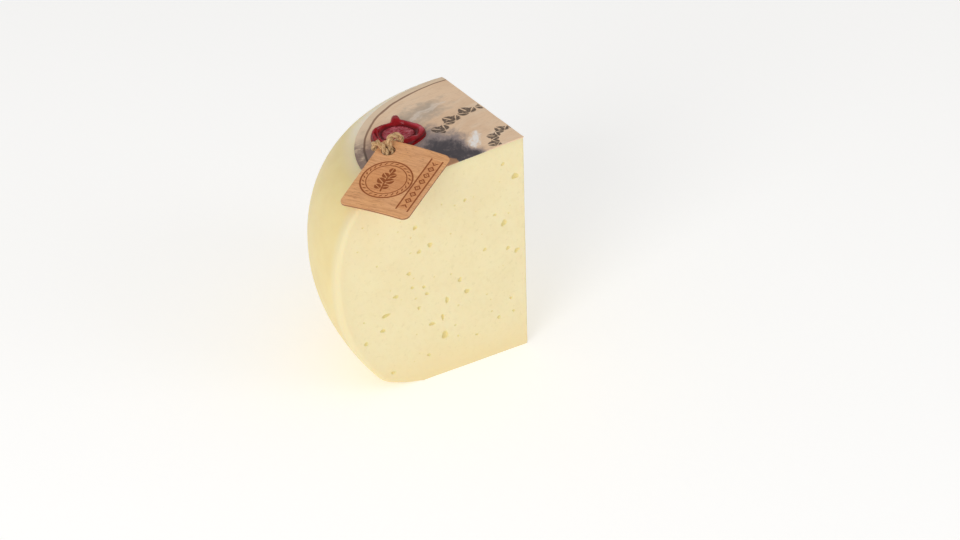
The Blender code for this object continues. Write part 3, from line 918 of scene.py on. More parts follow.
def label_finish(settings):
    """A brushed kraft print: smoky dark and pale sweeps, a ring line and rows of leaves."""
    paint = Paint("label")
    place = paint.place(FOOT + AXIS_LEAN.to_3d())
    across, along, _ = paint.parts(place)
    warp = paint.noise(place, 19, 2.0) - 0.5
    curl = paint.noise(place, 7, 3.0) - 0.5
    radius = reach_of(across, along)
    degrees = arc_tangent(along, 0 - across) * math.degrees(1)
    on_label = reach_of(across, along - LABEL_SHIFT / MILLIMETRE) + warp * 2
    # The sweeps follow bent rings, and their borders break up where noise outweighs them.
    bent = radius + warp * 9 + curl * 5
    bowed = bent + falls(degrees, 0, 34) * 8
    polar = paint.joined(bent, degrees * STREAK_TURN, 0.0)
    streaks = paint.noise(polar, 1.4, 4.0, 0.62) - 0.5
    broad = paint.noise(polar, 6.5, 3.0, 0.55) - 0.5
    fluff = paint.noise(place, 6.0, 4.0, 0.6) - 0.5
    fibres = paint.noise(place, 0.8, 3.0, 0.6, squeeze=(0.22, 1.5, 1.0))
    cloud = paint.noise(place, 26, 3.0)
    haze = between(bent, 50, 70, 7) * between(degrees, 24, 86, 14)
    smoke = between(bowed, 27, 55, 8) * falls(degrees, 36, 72)
    core = between(bowed, 30, 50, 6) * falls(degrees, 28, 58)
    rust = between(radius, 37, 47, 2) * falls(degrees, 3, 15)
    glow = between(bent, 20, 27, 5) * between(degrees, 12, 60, 14)
    tail = between(bent, 57, 63, 3) * between(degrees, 40, 88, 10)
    wear = rises(paint.noise(place, 1.1, 3.0, 0.7), 0.30, 0.44)
    rows = larger(*(sprigs(radius, degrees, *row) for row in SPRIG_ROWS))
    band = rises(on_label, RING_LINE_RADIUS, RING_LINE_RADIUS + 0.6)
    # A purple-brown printed patch by the label's left end, darkened further as painted shade
    # beside the tag.
    printed_patch_and_shade = rises(on_label, 60, 70) * between(degrees, 10, 38, 6) * rises(fluff, -0.3, 0.05)
    half_width = 0.6 + 0.5 * rises(broad, -0.1, 0.2)
    line = falls(size_of(on_label - RING_LINE_RADIUS), half_width * 0.3, half_width * 1.2)
    colour = paint.layered(
        settings.paper,
        (rises(cloud, 0.35, 0.7) * 0.6, srgb(228, 192, 158)),
        (rises(broad, -0.05, 0.2) * 0.4, srgb(246, 226, 202)),
        (rises(fibres, 0.50, 0.72) * 0.4, srgb(200, 162, 128)),
        (rises(haze + fluff * 1.4, 0.45, 1.2) * 0.62, srgb(160, 150, 138)),
        (rises(smoke + (fluff * 0.8 + streaks * 0.7), 0.26, 0.9) * 0.88, srgb(134, 122, 126)),
        (rises(core + (fluff * 0.9 + streaks * 0.9), 0.42, 1.05) * 0.94, settings.brush),
        (rises(rust + streaks, 0.3, 0.7) * 0.85, srgb(200, 146, 102)),
        (rises(glow + (broad * 0.7 + streaks * 1.0), 0.5, 0.95) * 0.9, srgb(250, 248, 246)),
        (rises(tail + (broad * 0.6 + streaks * 1.8), 0.60, 1.15) * 0.55, srgb(240, 226, 212)),
        (rows * wear * 0.92, settings.motif),
        (band * 0.75, srgb(236, 212, 182)),
        # Printed patch with painted shade.
        (printed_patch_and_shade * 0.85, srgb(112, 86, 84)),
        (band * rises(fluff, 0.0, 0.25) * 0.4, srgb(190, 172, 152)),
        (line * 0.9, paint.mix(rises(degrees, 24, 48), settings.motif, srgb(136, 96, 70))),
    )
    bump = fibres * 0.03 + paint.noise(place, 0.35, 2.0) * 0.012 + rows * 0.02
    return paint.finish(colour, 0.50 + cloud * 0.12, bump, {"IOR": 1.45})


# ---------------- the wax seal

SEAL_PLACE = Vector((-0.0477, 0.0433))
SEAL_RADIUS = 0.01275
SEAL_RINGS = 64
SEAL_SPOKES = 216
SEAL_GROUND = LABEL_GAP + LABEL_THICKNESS + CLEARANCE
# Share of the radius and height above the ground: pressed field, groove and thick rim.
SEAL_PROFILE = (
    (0.00, 0.0017), (0.50, 0.0017), (0.57, 0.0014),
    (0.63, 0.0007), (0.69, 0.0013), (0.80, 0.0027),
    (0.88, 0.0026), (0.96, 0.0018), (1.00, 0.0008),
)
# Two rings past the rim bring it down to the label.
SEAL_SKIRT = ((1.012, 0.0002), (1.02, 0.0))
# Waves round the seal as count, size and phase: its outline, its rim's height and its groove.
SEAL_UNEVENNESS = ((2, 0.030, 2.7), (3, 0.020, 2.1), (5, 0.018, 4.0))
SEAL_RIPPLE = ((3, 0.10, 0.4), (5, 0.09, 3.3), (9, 0.06, 0.4), (14, 0.03, 1.7))
GROOVE_WANDER = ((2, 0.014, 0.8), (3, 0.022, 1.0), (7, 0.012, 0.2))
DRIP_DIRECTION = math.radians(63.5)
DRIP_START_SHARE = 0.7
DRIP_REACH = 0.0055
DRIP_HALF_ANGLE = math.radians(9)
DRIP_HEIGHT = 0.0014
# Shares of the radius over which the ripple, the drip and the mounds rise.
RIPPLE_RISE = (0.64, 0.78)
DRIP_RISE = (0.58, 0.76)
MOUND_RISE = (0.80, 1.0)
# Shares of the radius between which the groove wanders, and how softly it starts and ends.
GROOVE_WANDERS_AT = (0.50, 0.92, 0.12)
# A crease that splits the rim's spilled side in two folds.
FOLD_DIRECTION = math.radians(150)
FOLD_HALF_ANGLE = math.radians(34)
FOLD_SHARE = 0.83
FOLD_HALF_WIDTH = 0.05
FOLD_DEPTH = 0.0013
MOUND_HEIGHT = 0.0017
MOUND_HALF_ANGLE = math.radians(8)
# The rosette, in shares of the radius; a ring has two edges and a softness.
PETALS = 8
PETAL_ROOT = (0.11, 0.15)
PETAL_SHORTEST = 0.20
PETAL_GROWTH = 0.20
PETAL_VALLEY = 0.35
BUTTON = (0.06, 0.09)
FINE_RINGS = ((0.475, 0.49, 0.012), (0.545, 0.555, 0.010))
FINE_RING_HEIGHT = 0.7
ROSETTE_TURN = 0.2
SEAL_GRAIN = 0.00012
SEAL_GRAINS = 420
# Shares of the radius and heights where the pressed field ends, the painted shade in the creases
# begins and the crest's painted highlight begins.
FIELD_END = (0.54, 0.62)
SHADED_CREASE_START = (0.52, 0.60)
SHADED_CREASE_HEIGHTS = (0.0010, 0.0022)
CREST_HIGHLIGHT_START = (0.62, 0.74)
CREST_HIGHLIGHT_HEIGHTS = (0.0018, 0.0028)
# Where the rim's crest gets a painted rosy highlight: direction, half angle and strength.
CREST_HIGHLIGHTS = (
    (math.radians(-22), math.radians(46), 0.9),
    (math.radians(160), math.radians(26), 0.35),
)
TWINE_END_DIRECTIONS = (math.radians(233), math.radians(216))


def waves(direction, terms):
    return sum(size * math.sin(count * direction + start) for count, size, start in terms)


def seal_edge(direction):
    """The seal's radius without its drip."""
    return SEAL_RADIUS * (1 + waves(direction, SEAL_UNEVENNESS))


def from_seal(direction, reach):
    """x and y of a point at a distance from the seal's middle."""
    return SEAL_PLACE.x + reach * math.cos(direction), SEAL_PLACE.y + reach * math.sin(direction)


def bell(direction, middle, half_angle, power=2):
    """1 in the middle direction, falling away to both sides."""
    away = math.remainder(direction - middle, math.tau)
    return math.exp(-(abs(away / half_angle) ** power))


def seal_profile(share):
    for (inner, low), (outer, high) in zip(SEAL_PROFILE, SEAL_PROFILE[1:]):
        if share <= outer:
            return low + (high - low) * rises(share, inner, outer)
    return SEAL_PROFILE[-1][1]


def rosette(share, direction):
    """A plain flower of eight petals round a button, inside two fine rings; from 0 to 1."""
    petal = 0.5 + 0.5 * math.cos(PETALS * direction)
    length = PETAL_SHORTEST + PETAL_GROWTH * petal ** 0.5
    flower = rises(share, *PETAL_ROOT) * falls(share, length - 0.05, length + 0.02)
    rings = sum(between(share, *ring) for ring in FINE_RINGS)
    flower *= PETAL_VALLEY + (1 - PETAL_VALLEY) * petal
    return min(1.0, flower + falls(share, *BUTTON) + FINE_RING_HEIGHT * rings)


def seal_height(direction, share, relief):
    """The wax's height above the ground at a share of its radius."""
    shift = waves(direction, GROOVE_WANDER) * between(share, *GROOVE_WANDERS_AT)
    height = seal_profile(share + shift)
    height *= 1 + rises(share, *RIPPLE_RISE) * waves(direction, SEAL_RIPPLE)
    fold = bell(direction, FOLD_DIRECTION, FOLD_HALF_ANGLE)
    fold *= math.exp(-(((share + shift * 2 - FOLD_SHARE) / FOLD_HALF_WIDTH) ** 2))
    height -= FOLD_DEPTH * fold
    drip = bell(direction, DRIP_DIRECTION, DRIP_HALF_ANGLE * 1.1, 3)
    height += DRIP_HEIGHT * drip * rises(share, *DRIP_RISE)
    mound = sum(bell(direction, end, MOUND_HALF_ANGLE) for end in TWINE_END_DIRECTIONS)
    height += MOUND_HEIGHT * mound * rises(share, *MOUND_RISE)
    return height + relief * rosette(share, direction - ROSETTE_TURN)


def seal_point(direction, share, height):
    """A point of the wax; a height of 0 lies on the label's face."""
    outer = max(0.0, (share - DRIP_START_SHARE) / (1 - DRIP_START_SHARE))
    reach = seal_edge(direction) * share
    reach += DRIP_REACH * bell(direction, DRIP_DIRECTION, DRIP_HALF_ANGLE, 3) * outer
    x, y = from_seal(direction, reach)
    if height == 0:
        return on_top(x, y, settings_of("label").face)
    grain = SEAL_GRAIN * noise.noise(Vector((x, y, 0)) * SEAL_GRAINS)
    return on_top(x, y, SEAL_GROUND + height + grain)


def seal_mesh(settings):
    bm = bmesh.new()
    pressed_layer, crease_shade_layer, crest_highlight_layer = number_layers(bm, "pressed", "crease", "crest")
    directions = [math.tau * spoke / SEAL_SPOKES for spoke in range(SEAL_SPOKES)]
    rings = []
    for share in shares(SEAL_RINGS, 1):
        row = []
        for direction in directions:
            height = seal_height(direction, share, settings.relief)
            vert = bm.verts.new(seal_point(direction, share, height))
            vert[pressed_layer] = falls(share, *FIELD_END)
            low = falls(height, *SHADED_CREASE_HEIGHTS)
            vert[crease_shade_layer] = rises(share, *SHADED_CREASE_START) * low
            painted_highlight = sum(bell(direction, *place) * weight for *place, weight in CREST_HIGHLIGHTS)
            painted_highlight *= rises(share, *CREST_HIGHLIGHT_START)
            vert[crest_highlight_layer] = painted_highlight * rises(height, *CREST_HIGHLIGHT_HEIGHTS)
            row.append(vert)
        rings.append(row + row[:1])
    for share, height in SEAL_SKIRT:
        row = [bm.verts.new(seal_point(direction, share, height)) for direction in directions]
        rings.append(row + row[:1])
    middle = bm.verts.new(seal_point(0.0, 0.0, seal_height(0.0, 0.0, settings.relief)))
    middle[pressed_layer] = 1.0
    fan(bm, middle, rings[0])
    quads_between(bm, *rings)
    bm.faces.new(list(reversed(rings[-1][:-1])))
    return mesh_from(bm, "sealing_wax", sharp_degrees=60)


def seal_finish(settings):
    """Glossy crimson wax with painted shade in its creases, a painted rosy highlight on its crest,
    and a rosy pressed field with painted highlight streaks.
    """
    paint = Paint("wax_seal")
    place = paint.place(FOOT)
    pressed = paint.attribute("pressed")
    cloud = paint.noise(place, 3.6, 3.0, 0.6)
    dust = paint.noise(place, 0.7, 4.0, 0.7)
    streak = paint.noise(place, 1.3, 3.0, 0.6, squeeze=(0.35, 1.1, 1.0))
    # The pressed field's colour with painted highlight streaks across it.
    field_with_painted_highlights = paint.mix(rises(streak, 0.42, 0.66), settings.field, srgb(204, 112, 124))
    colour = paint.layered(
        settings.wax,
        (rises(cloud, 0.35, 0.7) * 0.6, srgb(172, 16, 28)),
        # Painted rosy highlight on the rim's crest, stronger towards one side.
        (paint.attribute("crest") * (0.35 + dust * 0.8), srgb(206, 84, 100)),
        # Painted shade in the low creases of the rim.
        (paint.attribute("crease") * 0.85, srgb(84, 4, 12)),
        (pressed * (0.55 + dust * 0.6), field_with_painted_highlights),
    )
    bump = cloud * 0.16 + dust * 0.014 + streak * pressed * 0.06
    roughness = 0.17 + pressed * 0.16 + dust * 0.06
    return paint.finish(colour, roughness, bump, {
        "Specular IOR Level": 0.10,
        "Coat Weight": 0.12,
        "Coat Roughness": 0.04,
        "Subsurface Weight": 0.08,
        "Subsurface Radius": (1.0, 0.2, 0.2),
        "Subsurface Scale": 0.001,
    })


# ---------------- the wooden tag

# The tag's own frame has x across, y up its length and z out of its printed face.
TAG_WIDTH = 0.0357
TAG_LENGTH = 0.0466
TAG_THICKNESS = 0.0012
TAG_CORNER_RADIUS = 0.0034
TAG_CENTRE = Vector((-0.0739, 0.0032, 0.1140))
TAG_TURN = Euler((math.radians(14.8), math.radians(1.4), math.radians(-59.9)))
TAG_BOW_RADIUS = 0.196
TAG_BOW_DIRECTION = Vector((math.sin(math.radians(74.8)), math.cos(math.radians(74.8))))
TAG_HOLE_RADIUS = 0.0034
TAG_HOLE_ACROSS = 0.0059
TAG_HOLE_DOWN = 0.0072
TAG_HOLE = Vector((TAG_HOLE_ACROSS - TAG_WIDTH / 2, TAG_LENGTH / 2 - TAG_HOLE_DOWN))
TAG_CELL = 0.00031
TAG_EDGE_WIDTH = 0.00045
TAG_EDGE_DROP = 0.00014

# The branded motif, in millimetres in the tag's own frame.
WREATH_MIDDLE = (-3.4, -2.4)
WREATH_RADIUS = 12.3
WREATH_INNER_RADIUS = 9.6
WREATH_LEAVES = 26
WREATH_LEAF_HALF_SIZES = (0.62, 0.95)
WREATH_LEAF_LEAN = 0.09
SPRIG_SCALE = 1.4
STEM_ENDS = (-5.9, 4.2)
STEM_WIDTHS = (0.16, 0.36)
# The sprig's leaves: root on the stem, direction in degrees and scale.
TAG_SPRIG = (
    (-4.6, 150, 0.95), (-4.0, 30, 0.95), (-2.0, 145, 1.15), (-1.4, 35, 1.15),
    (0.8, 140, 1.0), (1.4, 40, 1.0), (3.1, 90, 0.95),
)
BAND_LINES = (9.9, 15.6)
BAND_END = 18.6
DIAMOND_STEP = 4.6
DIAMOND_HALF_SIZES = (1.9, 2.1)
DIAMONDS_END = (16.0, 16.2)
LINE_HALF_WIDTH = 0.34
LEAF_LENGTH = 3.1
LEAF_HALF_WIDTH = 1.25


def tag_point(x, y, z):
    """A point in the tag's own frame, bowed about its length and set on the wedge."""
    across = TAG_BOW_DIRECTION.x * x + TAG_BOW_DIRECTION.y * y
    turn = across / TAG_BOW_RADIUS
    radius = TAG_BOW_RADIUS + z
    flat = Vector((x, y)) + TAG_BOW_DIRECTION * (radius * math.sin(turn) - across)
    local = Vector((flat.x, flat.y, radius * math.cos(turn) - TAG_BOW_RADIUS))
    return FOOT + TAG_CENTRE + TAG_TURN.to_matrix() @ local


def inside_tag(x, y):
    """How far a point lies inside the tag's outline and outside its hole."""
    corner_x = abs(x) - (TAG_WIDTH / 2 - TAG_CORNER_RADIUS)
    corner_y = abs(y) - (TAG_LENGTH / 2 - TAG_CORNER_RADIUS)
    outside = math.hypot(max(corner_x, 0.0), max(corner_y, 0.0))
    to_rim = TAG_CORNER_RADIUS - outside - min(max(corner_x, corner_y), 0.0)
    to_hole = math.hypot(x - TAG_HOLE.x, y - TAG_HOLE.y) - TAG_HOLE_RADIUS
    return min(to_rim, to_hole)


def snapped(x, y):
    """Moves a border point onto the hole's circle or the corner's arc."""
    place = Vector((x, y))
    from_hole = place - TAG_HOLE
    if from_hole.length < TAG_HOLE_RADIUS * 1.25:
        return TAG_HOLE + from_hole.normalized() * TAG_HOLE_RADIUS
    corner = Vector((
        math.copysign(TAG_WIDTH / 2 - TAG_CORNER_RADIUS, x),
        math.copysign(TAG_LENGTH / 2 - TAG_CORNER_RADIUS, y),
    ))
    away = place - corner
    if away.x * corner.x > 0 and away.y * corner.y > 0:
        return corner + away.normalized() * TAG_CORNER_RADIUS
    return place


def leaf(x, y, root_x, root_y, direction, scale):
    """A pointed leaf with a bare midrib, from its root; 1 where it is burnt or printed."""
    along = ((x - root_x) * math.cos(direction) + (y - root_y) * math.sin(direction)) / scale
    aside = ((y - root_y) * math.cos(direction) - (x - root_x) * math.sin(direction)) / scale
    share = along / LEAF_LENGTH
    width = larger(share * (1 - share), 0.0) * 4 * LEAF_HALF_WIDTH
    blade = rises(width - size_of(aside), -0.10, 0.14)
    return blade * rises(size_of(aside), 0.08, 0.26)


def stroke(distance, inner, outer):
    """A line of the motif: 1 near its middle, 0 beyond, as shares of its half width."""
    return falls(size_of(distance), LINE_HALF_WIDTH * inner, LINE_HALF_WIDTH * outer)


def tag_motif(x, y):
    """How burnt the tag's face is at a place, 0 to 1; works on numbers and on wires."""
    from_x = x - WREATH_MIDDLE[0]
    from_y = y - WREATH_MIDDLE[1]
    radius = reach_of(from_x, from_y)
    turn = arc_tangent(from_y, from_x)
    middle = (WREATH_RADIUS + WREATH_INNER_RADIUS) / 2
    lean = (radius - middle) * WREATH_LEAF_LEAN
    step = within_step(turn + lean + math.pi, math.tau / WREATH_LEAVES) * middle
    half_width, half_length = WREATH_LEAF_HALF_SIZES
    wreath = size_of(step) / half_width + size_of(radius - middle) / half_length
    from_x = from_x * (1 / SPRIG_SCALE)
    from_y = from_y * (1 / SPRIG_SCALE)
    stem_x = from_x + 0.5 * cosine(from_y * 0.35) - 0.5
    marks = [
        stroke(radius - WREATH_RADIUS, 0.7, 1.6),
        stroke(radius - WREATH_INNER_RADIUS, 0.3, 1.1),
        falls(wreath, 0.75, 1.05),
        falls(size_of(stem_x), *STEM_WIDTHS) * between(from_y, *STEM_ENDS, 0.2),
    ]
    for root, direction, scale in TAG_SPRIG:
        marks.append(leaf(from_x, from_y, 0.0, root, math.radians(direction), scale))
    for line in BAND_LINES:
        marks.append(stroke(x - line, 0.7, 1.5) * falls(size_of(y), BAND_END - 0.2, BAND_END))
    half_width, half_height = DIAMOND_HALF_SIZES
    diamond = size_of(x - sum(BAND_LINES) / 2) / half_width
    diamond = diamond + size_of(within_step(y, DIAMOND_STEP)) / half_height
    in_row = falls(size_of(y), *DIAMONDS_END)
    marks.append((falls(diamond, 0.86, 1.04) - falls(diamond, 0.42, 0.58)) * in_row)
    marks.append(falls(diamond, 0.12, 0.28) * in_row)
    burnt = marks[0]
    for mark in marks[1:]:
        burnt = larger(burnt, mark)
    return burnt


def tag_mesh(settings):
    """The tag as a fine grid, so that the burnt lines are real grooves."""
    counts = (round(TAG_WIDTH / TAG_CELL), round(TAG_LENGTH / TAG_CELL))
    cell = (TAG_WIDTH / counts[0], TAG_LENGTH / counts[1])
    kept = set()
    for i in range(counts[0]):
        for j in range(counts[1]):
            x = (i + 0.5) * cell[0] - TAG_WIDTH / 2
            y = (j + 0.5) * cell[1] - TAG_LENGTH / 2
            if inside_tag(x, y) > 0:
                kept.add((i, j))
    bm = bmesh.new()
    place_layer = bm.verts.layers.float_vector.new("tag_place")
    pairs = {}
    for i in range(counts[0] + 1):
        for j in range(counts[1] + 1):
            cells_round = [(i - a, j - b) in kept for a in (0, 1) for b in (0, 1)]
            if not any(cells_round):
                continue
            x = i * cell[0] - TAG_WIDTH / 2
            y = j * cell[1] - TAG_LENGTH / 2
            if not all(cells_round):
                x, y = snapped(x, y)
            drop = TAG_EDGE_DROP * falls(inside_tag(x, y), 0.0, TAG_EDGE_WIDTH)
            groove = settings.burn_depth * tag_motif(x / MILLIMETRE, y / MILLIMETRE)
            face = bm.verts.new(tag_point(x, y, -drop - groove))
            back = bm.verts.new(tag_point(x, y, drop - TAG_THICKNESS))
            for vert, side in ((face, 1.0), (back, 0.0)):
                vert[place_layer] = (x / MILLIMETRE, y / MILLIMETRE, side)
            pairs[i, j] = (face, back)
    for i, j in sorted(kept):
        corners = [(i, j), (i + 1, j), (i + 1, j + 1), (i, j + 1)]
        bm.faces.new([pairs[corner][0] for corner in corners])
        bm.faces.new([pairs[corner][1] for corner in reversed(corners)])
        beyond = [(i, j - 1), (i + 1, j), (i, j + 1), (i - 1, j)]
        for first, second, cell_beyond in zip(corners, corners[1:] + corners[:1], beyond):
            if cell_beyond not in kept:
                bm.faces.new((*reversed(pairs[first]), *pairs[second]))
    return mesh_from(bm, "beech_tag", sharp_degrees=50)


def tag_finish(settings):
    """Thin beech: streaks and flecks across the tag, burnt lines and scorched edges."""
    paint = Paint("wood_tag")
    flat = paint.attribute("tag_place", "Vector")
    x, y, side = paint.parts(flat)
    grain_place = paint.vector("MULTIPLY", flat, (0.06, 1.0, 0.3))
    streak = paint.noise(grain_place, 1.5, 4.0, 0.6, 0.3)
    fine = paint.noise(grain_place, 0.42, 3.0, 0.6)
    fleck = paint.noise(flat, 0.62, 2.0, squeeze=(0.30, 1.6, 0.3))
    warmth = paint.noise(flat, 14, 2.0)
    soot = paint.noise(flat, 0.9, 3.0, 0.6)
    face = rises(side, 0.90, 0.995)
    burnt = tag_motif(x, y) * face
    from_wreath = reach_of(x - WREATH_MIDDLE[0], y - WREATH_MIDDLE[1])
    by_wreath = falls(from_wreath, WREATH_RADIUS - 1.0, WREATH_RADIUS + 1.6)
    by_band = between(x, *BAND_LINES, 0.9) * falls(size_of(y), BAND_END - 1.5, BAND_END)
    scorch = larger(by_wreath, by_band) * face
    wall = side * (1 - side) * 4
    colour = paint.layered(
        settings.wood,
        (rises(streak, 0.35, 0.7) * 0.55, srgb(202, 142, 94)),
        (rises(warmth, 0.35, 0.65) * 0.4, srgb(226, 170, 128)),
        (rises(fine, 0.46, 0.68) * 0.5, srgb(176, 112, 64)),
        (rises(fleck, 0.58, 0.70) * 0.5, srgb(150, 92, 52)),
        (scorch * (0.10 + soot * 0.55), srgb(206, 122, 60)),
        (burnt * (0.72 + soot * 0.4), settings.burn),
        (rises(wall, 0.02, 0.5) * 0.8, srgb(118, 72, 44)),
    )
    bump = streak * 0.04 + fine * 0.03 - fleck * 0.02
    roughness = 0.56 + fine * 0.12 + burnt * 0.12
    return paint.finish(colour, roughness, bump, {"IOR": 1.45})


# ---------------- the twine

TWINE_SPACING = 0.0003
PLY_SIDES = 18
PLY_OFFSET = 0.85
YARNS = 5
YARN_RIDGE = 0.07
YARN_TURN = 1.9
YARN_UNEVENNESS = 0.05
YARN_LUMPS = 900
STRAY_FIBRES = 130
FIBRE_STEPS = 6
FIBRE_SIDES = 4
FIBRE_RADIUS = 0.00003
FIBRE_LENGTH = (0.0006, 0.0017)
FIBRE_SEED = 5
# A stray fibre's root as a share of the twine's radius; its lift and curl as shares of its length.
FIBRE_ROOT = 0.86
FIBRE_LIFT = 0.45
FIBRE_CURL = 0.3
# Points at each end of the twine that carry no stray fibres.
BARE_END_POINTS = 20
TWINE_END_LIFT = 0.0017
TWINE_ENDS = (0.0010, -0.0020, -0.0045)
# Millimetres from the tag's upper left corner: across, down its length, out of its face.
TWINE_ROUTE_ON_TAG = (
    (5.6, 0.4, -6.6), (6.4, 3.4, -5.9), (6.7, 5.3, -3.9), (6.2, 5.7, -0.8),
    (5.3, 5.0, 2.1), (5.1, 3.3, 3.8), (6.3, 1.0, 4.1), (7.4, -1.2, 2.4),
    (7.6, -2.1, -0.2), (6.6, -1.0, -2.9), (3.6, 2.2, -3.3), (0.4, 5.2, -3.2),
    (-1.8, 6.6, -1.8), (-2.1, 6.7, 0.7), (-0.3, 6.5, 2.6), (2.2, 7.1, 2.6),
    (4.2, 8.1, 1.2), (5.3, 8.6, -0.9), (5.0, 8.2, -3.9), (3.5, 5.0, -6.1),
    (1.0, 0.4, -7.0),
)


def from_tag_corner(across, down, out):
    """A point given in metres from the tag's upper left corner."""
    return tag_point(across - TAG_WIDTH / 2, TAG_LENGTH / 2 - down, out)


def twine_end(direction, gap):
    """A point on the line along which a strand runs into the wax."""
    x, y = from_seal(direction, seal_edge(direction) + gap)
    return on_top(x, y, LABEL_GAP + LABEL_THICKNESS + TWINE_END_LIFT)


def twine_route():
    """The twine's middle line, from the wax through the knot and back into the wax."""
    first, last = TWINE_END_DIRECTIONS
    start = [twine_end(first, gap) for gap in reversed(TWINE_ENDS)]
    end = [twine_end(last, gap) for gap in TWINE_ENDS]
    knot = [from_tag_corner(*(v * MILLIMETRE for v in point)) for point in TWINE_ROUTE_ON_TAG]
    return smooth_route(start + knot + end, TWINE_SPACING)


def add_tube(bm, path, radius, sides, ridge, layer):
    """A closed tube along a path; the layer gets the distance, and the turn's cosine and sine."""
    rings = []
    for point, side, up, distance in frames_along(path):
        ring = []
        for index in range(sides):
            turn = math.tau * index / sides
            swell = 1 + ridge * math.cos(YARNS * turn + distance / MILLIMETRE * YARN_TURN)
            swell += YARN_UNEVENNESS * noise.noise(point * YARN_LUMPS)
            direction = side * math.cos(turn) + up * math.sin(turn)
            vert = bm.verts.new(point + direction * (radius * swell))
            vert[layer] = (distance / MILLIMETRE, math.cos(turn), math.sin(turn))
            ring.append(vert)
        rings.append(ring + ring[:1])
    quads_between(bm, *rings)
    bm.faces.new(list(reversed(rings[0][:-1])))
    bm.faces.new(rings[-1][:-1])


def add_stray_fibres(bm, frames, settings, layer):
    """Short bent hairs that stand off the twine."""
    rng = random.Random(FIBRE_SEED)
    outer = settings.ply_radius * (1 + PLY_OFFSET)
    for _ in range(STRAY_FIBRES):
        point, side, up, _ = rng.choice(frames[BARE_END_POINTS:-BARE_END_POINTS])
        turn = rng.uniform(0, math.tau)
        out = side * math.cos(turn) + up * math.sin(turn)
        along = up.cross(side) * rng.choice((-1, 1))
        length = rng.uniform(*FIBRE_LENGTH)
        curl = Vector([rng.uniform(-1, 1) for _ in range(3)])
        path = []
        for share in shares(FIBRE_STEPS):
            lift = out * (FIBRE_ROOT * outer + length * FIBRE_LIFT * share)
            drift = along * (length * share) + curl * (length * FIBRE_CURL * share * share)
            path.append(point + lift + drift)
        add_tube(bm, path, FIBRE_RADIUS, FIBRE_SIDES, 0.0, layer)


def twine_mesh(settings):
    """Two plies laid round each other, with stray fibres."""
    frames = frames_along(twine_route())
    bm = bmesh.new()
    layer = bm.verts.layers.float_vector.new("strand")
    for phase in (0.0, math.pi):
        path = []
        for point, side, up, distance in frames:
            turn = math.tau * distance / settings.lay + phase
            aside = side * math.cos(turn) + up * math.sin(turn)
            path.append(point + aside * (settings.ply_radius * PLY_OFFSET))
        add_tube(bm, path, settings.ply_radius, PLY_SIDES, YARN_RIDGE, layer)
    add_stray_fibres(bm, frames, settings, layer)
    return mesh_from(bm, "jute_twine", sharp_degrees=80)


def twine_finish(settings):
    """Matt jute: fibres that run along each ply, darker between them."""
    paint = Paint("twine")
    distance, aside, up = paint.parts(paint.attribute("strand", "Vector"))
    spun = arc_tangent(up, aside) + distance * 0.55
    fibre_place = paint.joined(distance * 0.16, cosine(spun) * 2.2, sine(spun) * 2.2)
    fibre = paint.noise(fibre_place, 0.42, 4.0, 0.65)
    blotch = paint.noise(paint.place(FOOT), 3.0, 2.0)
    colour = paint.layered(
        srgb(126, 84, 28),
        (rises(fibre, 0.38, 0.66), settings.jute),
        (rises(blotch, 0.4, 0.7) * 0.4, srgb(218, 174, 122)),
    )
    constants = {"Sheen Weight": 0.1, "IOR": 1.45}
    return paint.finish(colour, 0.82 + fibre * 0.1, fibre * 0.16, constants)


# ---------------- the stage

CAMERA_FROM_FOOT = Vector((-0.5479, -0.7816, 0.6000))
CAMERA_AIM_FROM_FOOT = Vector((-0.0368, -0.0117, 0.0600))
CAMERA_LENS = 84.26
SENSOR_WIDTH = 36.0
FLOOR_REACH = 9.0
# Name, place from the middle of the object, size and setting of the power.
LIGHTS = (
    ("key_light", (-1.30, -0.80, 0.62), 0.9, "key"),
    ("fill_light", (0.9, -1.3, 0.7), 1.1, "fill"),
)


def floor_finish(settings):
    """A pale floor with hardly any grain."""
    paint = Paint("floor")
    tone = rises(paint.noise(paint.place(FOOT), 300, 2.0), 0.3, 0.7) * 0.02
    colour = paint.mix(tone, settings.floor, (0.8, 0.8, 0.8))
    return paint.finish(colour, 0.8, tone * 0.01, {
        "Specular IOR Level": 0.2,
        "Emission Color": (1.0, 1.0, 1.0, 1.0),
        "Emission Strength": settings.floor_glow,
    })


def add_floor(settings):
    corners = [(-1, -1), (1, -1), (1, 1), (-1, 1)]
    points = [(x * FLOOR_REACH, y * FLOOR_REACH, 0.0) for x, y in corners]
    mesh = bpy.data.meshes.new("floor")
    mesh.from_pydata(points, [], [(0, 1, 2, 3)])
    mesh.materials.append(floor_finish(settings))
    linked("floor", mesh)


def add_light(name, place, size, power):
    light = bpy.data.lights.new(name, "AREA")
    light.shape = "DISK"
    light.size = size
    light.energy = power
    lamp = linked(name, light)
    lamp.location = Vector((0.0, 0.0, WHEEL_HEIGHT / 2)) + Vector(place)
    lamp.rotation_euler = (-Vector(place)).to_track_quat("-Z", "Y").to_euler()


def add_surroundings(settings):
    world = bpy.data.worlds.get("surroundings") or bpy.data.worlds.new("surroundings")
    world.use_nodes = True
    background = world.node_tree.nodes["Background"]
    background.inputs["Color"].default_value = (1.0, 0.99, 0.97, 1.0)
    background.inputs["Strength"].default_value = settings.sky
    bpy.context.scene.world = world


def add_camera():
    lens = bpy.data.cameras.new("camera")
    lens.lens = CAMERA_LENS
    lens.sensor_width = SENSOR_WIDTH
    lens.clip_start = 0.05
    camera = linked("camera", lens)
    camera.location = FOOT + CAMERA_FROM_FOOT
    look = CAMERA_AIM_FROM_FOOT - CAMERA_FROM_FOOT
    camera.rotation_euler = look.to_track_quat("-Z", "Y").to_euler()
    bpy.context.scene.camera = camera


# ---------------- operators

